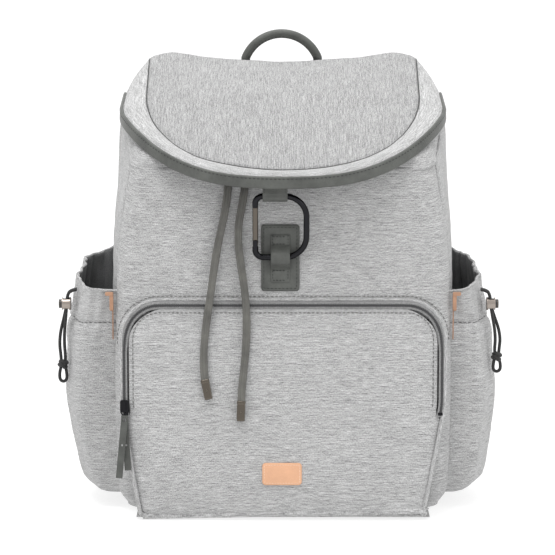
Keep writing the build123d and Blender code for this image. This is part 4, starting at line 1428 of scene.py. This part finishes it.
def build_drawstring(side):
    """A flat folded leather string with a metal tip at its end."""
    path = resample(spline_points(f"drawstring_guide_{side}", DRAWSTRING_ROUTES[side]), 1.5)
    steps = np.linspace(0, 1, len(path))
    up = np.array([[0.22 * sin(5 * t + (1.4 if side == "left" else 0.2)), -1, 0.12] for t in steps])
    profile = []
    for t in steps:
        width = DRAWSTRING_WIDTH * (1 + 0.03 * sin(21 * t))
        ring = [(s * width / DRAWSTRING_WIDTH, u) for s, u in round_profile(DRAWSTRING_WIDTH, 2.5, 1.1, 4)]
        profile.append([(s, u * (1 + 0.16 * float(bump_at(abs(s), 2.6, 0.7)))) for s, u in fold(ring)])
    string = sweep(f"drawstring_strip_{side}", path, np.array(profile), up)
    paint(string, STRING)
    tip = build_tip(side, path)
    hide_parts(f"drawstring_{side}")
    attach(string, "bag")
    for hand in (-1, 1):
        row = path[3:-3] + path_frames(path, up)[1][3:-3] * hand * 2.5 + path_frames(path, up)[2][3:-3] * 1.22
        stitch_up = resample_to(up[3:-3], len(resample(row, (1.9 + 1.0) / 4)))
        name = f"drawstring_stitches_{side}_{'a' if hand < 0 else 'b'}"
        paint(stitches(name, row, stitch_up, "bag", 1.9, 1.0, 0.22), THREAD_DARK)


def fold(ring):
    """A strip's outline with a crease on its front face, beside the folded edge."""
    dense = []
    for (s, u), (s2, u2) in zip(ring, ring[1:] + ring[:1]):
        count = max(1, int(abs(s2 - s) / 0.45))
        for k in range(count):
            a, b = s + (s2 - s) * k / count, u + (u2 - u) * k / count
            dip = 0.6 * float(bump_at(a, 1.3, 0.45)) + 0.45 * float(bump_at(a, -1.6, 0.4))
            dense.append((a, b - dip if b > 1.0 else b))
    return dense


def build_tip(side, path):
    """A polished rectangular end cap with a rolled mouth and a pressed line round it."""
    end = {"left": np.array([-67.5, -90.3, 111.5]), "right": np.array([-38.6, -94, 92.0])}[side]
    start = path[-1] - (end - path[-1]) / np.linalg.norm(end - path[-1]) * 1.2
    places = [0, 0.03, 0.09, 0.14, 0.17, 0.20, 0.24, 0.6, 0.93, 0.98, 1.0]
    sizes = [0.98, 1.05, 1.07, 1.04, 0.97, 0.97, 1.0, 1.0, 1.0, 0.95, 0.82]
    line = np.array([start + (end - start) * p for p in places])
    base = np.array(round_profile(7.4, 3.8, 0.9, 4))
    cap = sweep(f"drawstring_cap_{side}", line, np.array([base * s for s in sizes]), (0, -1, 0.1))
    paint(cap, NICKEL)
    cap.data.shade_flat()
    for polygon in cap.data.polygons:
        polygon.use_smooth = len(polygon.vertices) == 4
    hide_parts(f"drawstring_tip_{side}")
    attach(cap, "bag")
    rivet = leather_disc(f"drawstring_rivet_{side}", start + (end - start) * 0.55 + np.array([0, -2.0,
        0.2]), 1.15, 0.5)
    return [cap, rivet]


def leather_disc(name, centre, radius, tall):
    """A small domed stud that faces forward."""
    profile = [(1.0, 0.0), (1.0, 0.5), (0.85, 0.85), (0.5, 1.0), (0.05, 1.05)]
    points, faces, around = [], [], 20
    for share, lift in profile:
        for k in range(around):
            a = 2 * pi * k / around
            points.append(centre + np.array([cos(a) * radius * share, -lift * tall, sin(a) * radius * share]))
    for r in range(len(profile) - 1):
        for c in range(around):
            d = (c + 1) % around
            faces.append([r * around + c, r * around + d, (r + 1) * around + d, (r + 1) * around + c])
    faces.append([c for c in range(around)][::-1])
    faces.append([(len(profile) - 1) * around + c for c in range(around)])
    disc = make_mesh(name, points, faces)
    fix_normals(disc)
    paint(disc, NICKEL)
    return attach(disc, "bag")


ELASTIC_DIAMETER = 3.0
CORD_Y = -24
RIM_REACH = {"left": 195.6, "right": 187.6}
LOCK_Z = 189.5
ELASTIC_ROUTE = [
    (-3.5, 2.3, 203), (2.5, 2.3, 202), (5.2, 2.3, 197.5), (6, 2.3, 188.5), (8.8, 2.1, 176), (12.2, 1.7, 163),
    (13.2, 1.2, 151), (12, 0.5, 141), (11.4, 0.1, 132), (13.2, 0, 125), (13.4, 0, 119.6), (12.2, 0.1, 116.8),
    (9.9, 0.1, 115.8), (7.6, 0.1, 116.8), (6.4, 0, 119.6), (6.8, 0, 125), (8.1, -0.1, 132), (7.6, -0.7, 141),
    (8.4, -1.3, 151), (8.2, -1.8, 163), (6.8, -2.2, 176), (5.7, -2.3, 188.5), (5.1, -2.3, 197.5),
    (2.4, -2.3, 202), (-3.5, -2.3, 203),
]
ELASTIC_DROP = {"left": (1, 0), "right": (0.87, 2.4)}
KNOT = (9.8, 132.5)


def hang_place(side, out, y, z):
    """A place on the hanging loop, from its distance beyond the rim and its height."""
    share, lean = ELASTIC_DROP[side]
    below = max(0, LOCK_Z - 1 - z)
    out += lean * min(1, below / 40)
    return SIDES[side] * (RIM_REACH[side] + out), CORD_Y + y, z + below * (1 - share)


def build_elastic(side):
    """The elastic cord's free loop, its overhand knot, and the spring lock that grips it."""
    route = [hang_place(side, *place) for place in ELASTIC_ROUTE]
    curve = bpy.data.curves.new(f"elastic_loop_{side}", "CURVE")
    curve.dimensions = "3D"
    curve.resolution_u = 14
    fill_spline(curve, route)
    curve.bevel_depth = ELASTIC_DIAMETER / 2 * MM
    curve.bevel_resolution = 5
    curve.use_fill_caps = True
    loop = bpy.data.objects.new(f"elastic_loop_{side}", curve)
    bpy.context.collection.objects.link(loop)
    curve.materials.append(ELASTIC)
    pieces = build_knot(side, np.array(hang_place(side, KNOT[0], 0, KNOT[1]))) + build_lock(side)
    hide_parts(f"elastic_cord_{side}")
    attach(loop, "bag")


def build_knot(side, centre):
    """An overhand knot: three turns of cord that wrap one another."""
    made = []
    turns = [((0.2, 0.1, 1.0), 3.3, 3.6), ((0.35, 0.15, 1.0), 3.5, -3.4), ((0.95, 0.3, 0.3), 3.3, 0.0),
             ((-0.7, 0.4, 0.6), 3.2, 0.6)]
    points, faces = [], []
    for axis, radius, rise in turns:
        axis = np.array(axis) / np.linalg.norm(axis)
        first = np.cross(axis, (0, 1, 0.2))
        first /= np.linalg.norm(first)
        second = np.cross(axis, first)
        around, tube = 36, 10
        base = len(points)
        for k in range(around):
            a = 2 * pi * k / around
            out = first * cos(a) + second * sin(a)
            middle = centre + out * radius + axis * (rise * 0.5 + 0.5 * sin(2 * a))
            for t in range(tube):
                b = 2 * pi * t / tube
                points.append(middle + (out * cos(b) + axis * sin(b)) * (ELASTIC_DIAMETER / 2 + 0.15))
        for k in range(around):
            for t in range(tube):
                n, u = (k + 1) % around, (t + 1) % tube
                faces.append([base + k * tube + t, base + k * tube + u, base + n * tube + u,
                    base + n * tube + t])
    knot = make_mesh(f"elastic_knot_{side}", points, faces)
    fix_normals(knot)
    paint(knot, ELASTIC)
    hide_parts(f"cord_knot_{side}")
    made.append(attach(knot, "bag"))
    return made


def turned(name, start, end, profile, around=28):
    """A turned solid: profile is (share along from start to end, radius)."""
    start, end = np.array(start, float), np.array(end, float)
    line = end - start
    axis = line / np.linalg.norm(line)
    first = np.cross(axis, (0, 1, 0.01))
    first /= np.linalg.norm(first)
    second = np.cross(axis, first)
    points, faces = [], []
    for share, radius in profile:
        for k in range(around):
            a = 2 * pi * k / around
            points.append(start + line * share + (first * cos(a) + second * sin(a)) * radius)
    for r in range(len(profile) - 1):
        for c in range(around):
            d = (c + 1) % around
            faces.append([r * around + c, r * around + d, (r + 1) * around + d, (r + 1) * around + c])
    faces.append([c for c in range(around)][::-1])
    faces.append([(len(profile) - 1) * around + c for c in range(around)])
    obj = make_mesh(name, points, faces)
    fix_normals(obj)
    return obj


def build_lock(side):
    dress(f"cord_lock_body_{side}", ROSE)
    dress(f"cord_lock_button_{side}", BLACK)
    low, high = box_mm(f"cord_lock_body_{side}")
    middle = (low + high) / 2
    sign = SIDES[side]
    inner = low[0] if sign > 0 else high[0]
    collar = turned(f"cord_lock_collar_{side}", (inner - sign * 0.35, middle[1], middle[2]),
                    (inner + sign * 0.9, middle[1], middle[2]),
                    [(0.0, 4.6), (0.1, 5.6), (0.45, 6.25), (0.8, 6.25), (1.0, 6.0)])
    paint(collar, ROSE)
    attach(collar, f"lock_{side}")
    low, high = box_mm(f"cord_lock_button_{side}")
    outer = high[0] if sign > 0 else low[0]
    middle = (low + high) / 2
    ring = turned(f"cord_lock_button_ring_{side}", (outer - sign * 1.5, middle[1], middle[2]),
                  (outer - sign * 0.7, middle[1], middle[2]),
                  [(0.0, 4.0), (0.2, 4.2), (0.8, 4.2), (1.0, 4.0)])
    paint(ring, NICKEL)
    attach(ring, f"lock_button_{side}")
    return [collar, ring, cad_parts[f"cord_lock_body_{side}"],
        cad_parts[f"cord_lock_button_{side}"]]


# ---------------------------------------------------------------- handle and back
def build_handle():
    """A rolled leather handle: round above, with the stitched edges of the leather under it."""
    low, high = box_mm("handle")
    left, right = low[0] + 3.7, high[0] - 3.7
    y, foot, rise = 86.0, 413.0, 24.0
    half, middle = (right - left) / 2, (right + left) / 2
    radius = (half**2 + rise**2) / (2 * rise)
    centre_z = foot + rise - radius
    spread = np.arcsin(half / radius)
    angles = np.linspace(-spread, spread, 70)
    path = np.array([(middle + radius * sin(a), y, centre_z + radius * cos(a)) for a in angles])
    inward = np.array([(-sin(a), 0, -cos(a)) for a in angles])
    path = np.concatenate([[path[0] + (0, -0.6, -6)], path, [path[-1] + (0, -0.6, -6)]])
    inward = np.concatenate([[inward[0]], inward, [inward[-1]]])
    roll = []
    for k in range(22):
        a = 2 * pi * k / 22
        flange = 2.2 * max(0.0, -sin(a)) ** 10
        roll.append((3.3 * cos(a) * (1 - 0.35 * max(0.0, -sin(a)) ** 8), 3.3 * sin(a) - flange))
    handle = sweep("handle_roll", path, roll, -inward)
    paint(handle, TRIM)
    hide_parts("handle", "handle_core")
    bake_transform(handle)
    row = path[3:-3] + inward[3:-3] * 4.3 + np.array([0, -1.0, 0])
    paint(stitches("handle_stitches", row, (0, -1, 0), "handle_loop", 2.4, 1.1, 0.3), THREAD_TRIM)


def build_anchor():
    """The leather piece on the back that the handle's legs are sewn into."""
    low, high = box_mm("handle_anchor")
    made = []
    plate = padded_plate("handle_anchor_plate", (low[0], high[0]), (384, 400.5), (76.2, 79.4), 2.5, TRIM)
    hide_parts("handle_anchor")
    for side, x in (("left", -36.8), ("right", 34.6)):
        path = [(x, 79.0, 386), (x, 81.8, 390), (x, 84.6, 396), (x, 85.8, 402), (x, 86, 409.5)]
        leg = sweep(f"handle_leg_{side}", resample(path, 1.2), round_profile(8.8, 6.2, 2.4, 4), (0, 1, -0.3))
        paint(leg, TRIM)
        made.append(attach(leg, "bag"))


def padded_plate(name, x, z, y, corner, material, puff=0.8, body="bag", taper=0.0):
    """A soft flat piece on the back, domed towards +Y, with a rounded outline."""
    outline = rounded_outline(
        [(x[0], z[0]), (x[1], z[0]), (x[1] - taper, z[1]), (x[0] + taper, z[1])], corner, 8)
    outline = resample_ring(outline, 160)
    middle = outline.mean(axis=0)
    levels = [(0.995, 0.0), (1.0, 0.25), (1.0, 0.6), (0.99, 0.85), (0.965, 1.0)]
    levels += [(s, 1.0) for s in (0.92, 0.84, 0.7, 0.55, 0.4, 0.25, 0.12, 0.02)]
    points, faces = [], []
    around = len(outline)
    for share, lift in levels:
        ring = middle + (outline - middle) * share
        swell = puff * (1 - share**4)
        for px, pz in ring:
            points.append((px, y[0] + (y[1] - y[0]) * lift + swell, pz))
    for r in range(len(levels) - 1):
        for c in range(around):
            d = (c + 1) % around
            faces.append([r * around + c, r * around + d, (r + 1) * around + d, (r + 1) * around + c])
    faces.append([c for c in range(around)][::-1])
    faces.append([(len(levels) - 1) * around + c for c in range(around)])
    plate = make_mesh(name, points, faces)
    fix_normals(plate)
    paint(plate, material)
    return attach(plate, body)


def resample_ring(ring, count):
    closed = np.concatenate([ring, ring[:1]])
    lengths = np.concatenate([[0], np.cumsum(np.linalg.norm(np.diff(closed, axis=0), axis=1))])
    places = np.linspace(0, lengths[-1], count, endpoint=False)
    return np.stack([np.interp(places, lengths, closed[:, k]) for k in range(2)], axis=1)


def build_back_pads():
    for name in ("upper", "lower"):
        low, high = box_mm(f"back_pad_{name}")
        taper = 8 if name == "upper" else 0
        pad = padded_plate(f"back_cushion_{name}", (low[0], high[0]), (low[2], high[2]), (76.0, 83.0), 14,
            MESH,
                           4.5, taper=taper)
        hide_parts(f"back_pad_{name}")
        outline = rounded_outline([(low[0], low[2]), (high[0], low[2]), (high[0] - taper, high[2]),
                                   (low[0] + taper, high[2])], 14, 8)
        ring = resample_ring(outline, 200)
        path = [(px, 77.6, pz) for px, pz in np.concatenate([ring, ring[:1]])]
        binding = sweep(f"back_cushion_binding_{name}", resample(path, 3), round_profile(3.4, 3.0, 1.2, 3),
            (0, 1, 0))
        paint(binding, WEBBING)
        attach(binding, "bag")


STRAP_LINE = [(398, 86.5), (384, 88.2), (362, 91.6), (330, 95.0), (300, 96.2), (240, 96.6), (180, 96.0),
              (140, 94.4), (118, 92.0)]
STRAP_CENTRE = [(110, 91), (200, 75), (300, 62), (400, 56)]
STRAP_HALF = [(110, 24.5), (200, 28.6), (300, 29.5), (400, 27.6)]


def build_strap(side):
    """A padded shoulder strap with a bound edge, and its adjuster."""
    sign = SIDES[side]
    heights = np.linspace(381.5, 119, 110)
    mid_table = sorted((z, y) for z, y in STRAP_LINE)
    profiles, path = [], []
    for z in heights:
        half = smooth_read(STRAP_HALF, z) - 0.5
        thick = 4.4 * (0.62 + 0.38 * float(ease(118, 150, z) * (1 - ease(362, 382, z))))
        ring = []
        for k in range(36):
            a = 2 * pi * k / 36
            s, u = cos(a), sin(a)
            ring.append((half * np.sign(s) * abs(s) ** 0.55, thick * np.sign(u) * abs(u) ** 0.7))
        profiles.append(ring)
        path.append((sign * smooth_read(STRAP_CENTRE, z), smooth_read(mid_table, z), z))
    strap = sweep(f"strap_cushion_{side}", np.array(path), np.array(profiles), (0, 1, 0))
    paint(strap, MESH)
    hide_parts(f"shoulder_strap_{side}")
    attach(strap, f"strap_{side}")
    path = np.array(path)
    for hand, edge in ((-1, "inner"), (1, "outer")):
        line = path + np.array([hand, 0, 0]) * np.array([[smooth_read(STRAP_HALF, z) - 1.2] for z in heights])
        piping = sweep(f"strap_binding_{side}_{edge}", resample(line, 4), round_profile(3.2, 3.6, 1.4, 3),
            (0, 1, 0))
        paint(piping, WEBBING)
        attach(piping, f"strap_{side}")
    dress(f"strap_adjuster_{side}", BLACK)
    build_webbing(side)


def build_webbing(side):
    sign = SIDES[side]
    top_x, low_x = sign * 91.0, sign * 113.0
    line = [(95.8, 91.5), (80, 91.3), (62, 90.9), (47, 89.9), (41, 86.2), (38.3, 83.8)]
    path = []
    for z, y in line:
        share = (95.8 - z) / 57.6
        path.append((top_x + (low_x - top_x) * share, y, z))
    path = resample(path, 2)
    band = sweep(f"strap_tape_{side}", path, round_profile(24, 1.7, 0.6, 3), (0, 1, 0.2))
    paint(band, WEBBING)
    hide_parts(f"strap_webbing_{side}")
    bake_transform(band)
    for z in (102, 109):
        turn = [(sign * 91 - 0.1, 96.0, z - 3.4), (sign * 91, 97.2, z), (sign * 91 + 0.1, 96.0, z + 3.4)]
        bar = sweep(f"strap_tape_turn_{side}_{z}", turn, round_profile(24, 1.6, 0.6, 3), (0, 1, 0))
        paint(bar, WEBBING)
        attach(bar, f"strap_{side}")


def build_anchors():
    for side, sign in SIDES.items():
        x = sorted((sign * 56 - 28, sign * 56 + 28))
        padded_plate(f"strap_head_{side}", x, (374, 384), (76.2, 85.2), 2.0, WEBBING,
            0.3)
        x = sorted((sign * 92, sign * 134))
        padded_plate(f"strap_foot_{side}", x, (16, 38), (75.6, 81.4), 3.0, WEBBING,
            0.4, taper=4)
    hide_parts("strap_heads")
    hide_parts("strap_feet")


def build_inner_pocket():
    """The gathered pocket on the back wall inside, with elastic along its top."""
    rows, cols = 40, 120
    grid = np.zeros((rows, cols, 3))
    for r in range(rows):
        z = 70.5 + 125 * r / (rows - 1)
        for c in range(cols):
            t = c / (cols - 1)
            x = -99 + 198 * t
            ripple = (1.6 * sin(2 * pi * t * 17) * float(ease(120, 186, z)) + 0.8 * wobble((x, 0, z), 26,
                4.4))
            bulge = 5.5 * sin(pi * t) ** 0.6 * float(ease(70, 95, z)) * (1 - 0.5 * float(ease(150, 190, z)))
            y = 62.5 - bulge + ripple
            if c in (0, cols - 1):
                y = 70.5
            grid[r, c] = (x, y, z)
    pouch = cloth("inner_pocket_cloth", grid, 0.9, (0, 200, 130))
    paint(pouch, LINING)
    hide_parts("inner_pocket")
    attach(pouch, "bag")
    line = [(x, 57.6 + 1.3 * sin(x * 2 * pi / 11.6), 193.5) for x in np.linspace(-97, 97, 200)]
    elastic = sweep("inner_pocket_band", line, round_profile(9.5, 1.4, 0.5, 3)[::1], (0, -1, 0))
    paint(elastic, ELASTIC)
    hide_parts("inner_pocket_elastic")
    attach(elastic, "bag")
    dress("base_board", BOARD)


# ---------------------------------------------------------------- build everything
build_body()
build_base()
build_lining()
build_collar()
build_lid_top()
build_lid_edge()
build_hinge()
build_patch_and_strap()
build_clip()
build_loop()
build_pocket_panel()
build_gusset()
build_zipper()
build_zip_pull()
build_label()
for pocket_side in SIDES:
    build_side_pocket(pocket_side)
    build_drawstring(pocket_side)
    build_elastic(pocket_side)
    build_strap(pocket_side)
build_tabs()
build_handle()
build_anchor()
build_back_pads()
build_anchors()
build_inner_pocket()


# ---------------------------------------------------------------- floor, light and camera
def build_stage():
    mesh = bpy.data.meshes.new("floor")
    far = 60.0
    corners = [(x, y, -0.0004) for x, y in ((-far, -far), (far, -far), (far, far), (-far, far))]
    mesh.from_pydata(corners, [], [(0, 1, 2, 3)])
    floor = bpy.data.objects.new("floor", mesh)
    bpy.context.collection.objects.link(floor)
    material, _, shader = new_material("floor_white", (0.34, 0.34, 0.34), 1.0)
    shader.inputs["Emission Color"].default_value = (1, 1, 1, 1)
    shader.inputs["Emission Strength"].default_value = 0.72
    mesh.materials.append(material)
    world = bpy.data.worlds.new("studio")
    bpy.context.scene.world = world
    world.use_nodes = True
    world.node_tree.nodes["Background"].inputs["Color"].default_value = (1, 1, 1, 1)
    world.node_tree.nodes["Background"].inputs["Strength"].default_value = 1.04


def area_light(name, place, target, size, power):
    data = bpy.data.lights.new(name, "AREA")
    data.shape = "RECTANGLE"
    data.size, data.size_y = size
    data.energy = power
    light = bpy.data.objects.new(name, data)
    bpy.context.collection.objects.link(light)
    light.location = place
    light.rotation_mode = "QUATERNION"
    light.rotation_quaternion = (Vector(target) - Vector(place)).to_track_quat("-Z", "Y")


def build_camera():
    distance, elevation, target = 2.2, radians(8), Vector((-0.0051, 0, 0.2107))
    data = bpy.data.cameras.new("camera")
    data.lens, data.sensor_width = 151.7, 36
    camera = bpy.data.objects.new("camera", data)
    bpy.context.collection.objects.link(camera)
    camera.location = target + distance * Vector((0, -cos(elevation), sin(elevation)))
    camera.rotation_mode = "QUATERNION"
    camera.rotation_quaternion = (target - camera.location).to_track_quat("-Z", "Y")
    bpy.context.scene.camera = camera


build_stage()
area_light("key", (-0.5, -1.0, 2.6), (0, 0, 0.2), (1.2, 1.2), 30)
area_light("fill", (1.8, -1.5, 1.0), (0, 0, 0.2), (1.2, 1.2), 6)
area_light("top", (0, 0.5, 2.2), (0, 0, 0.3), (1.6, 1.6), 12)
build_camera()
bpy.context.scene.view_settings.view_transform = "Standard"
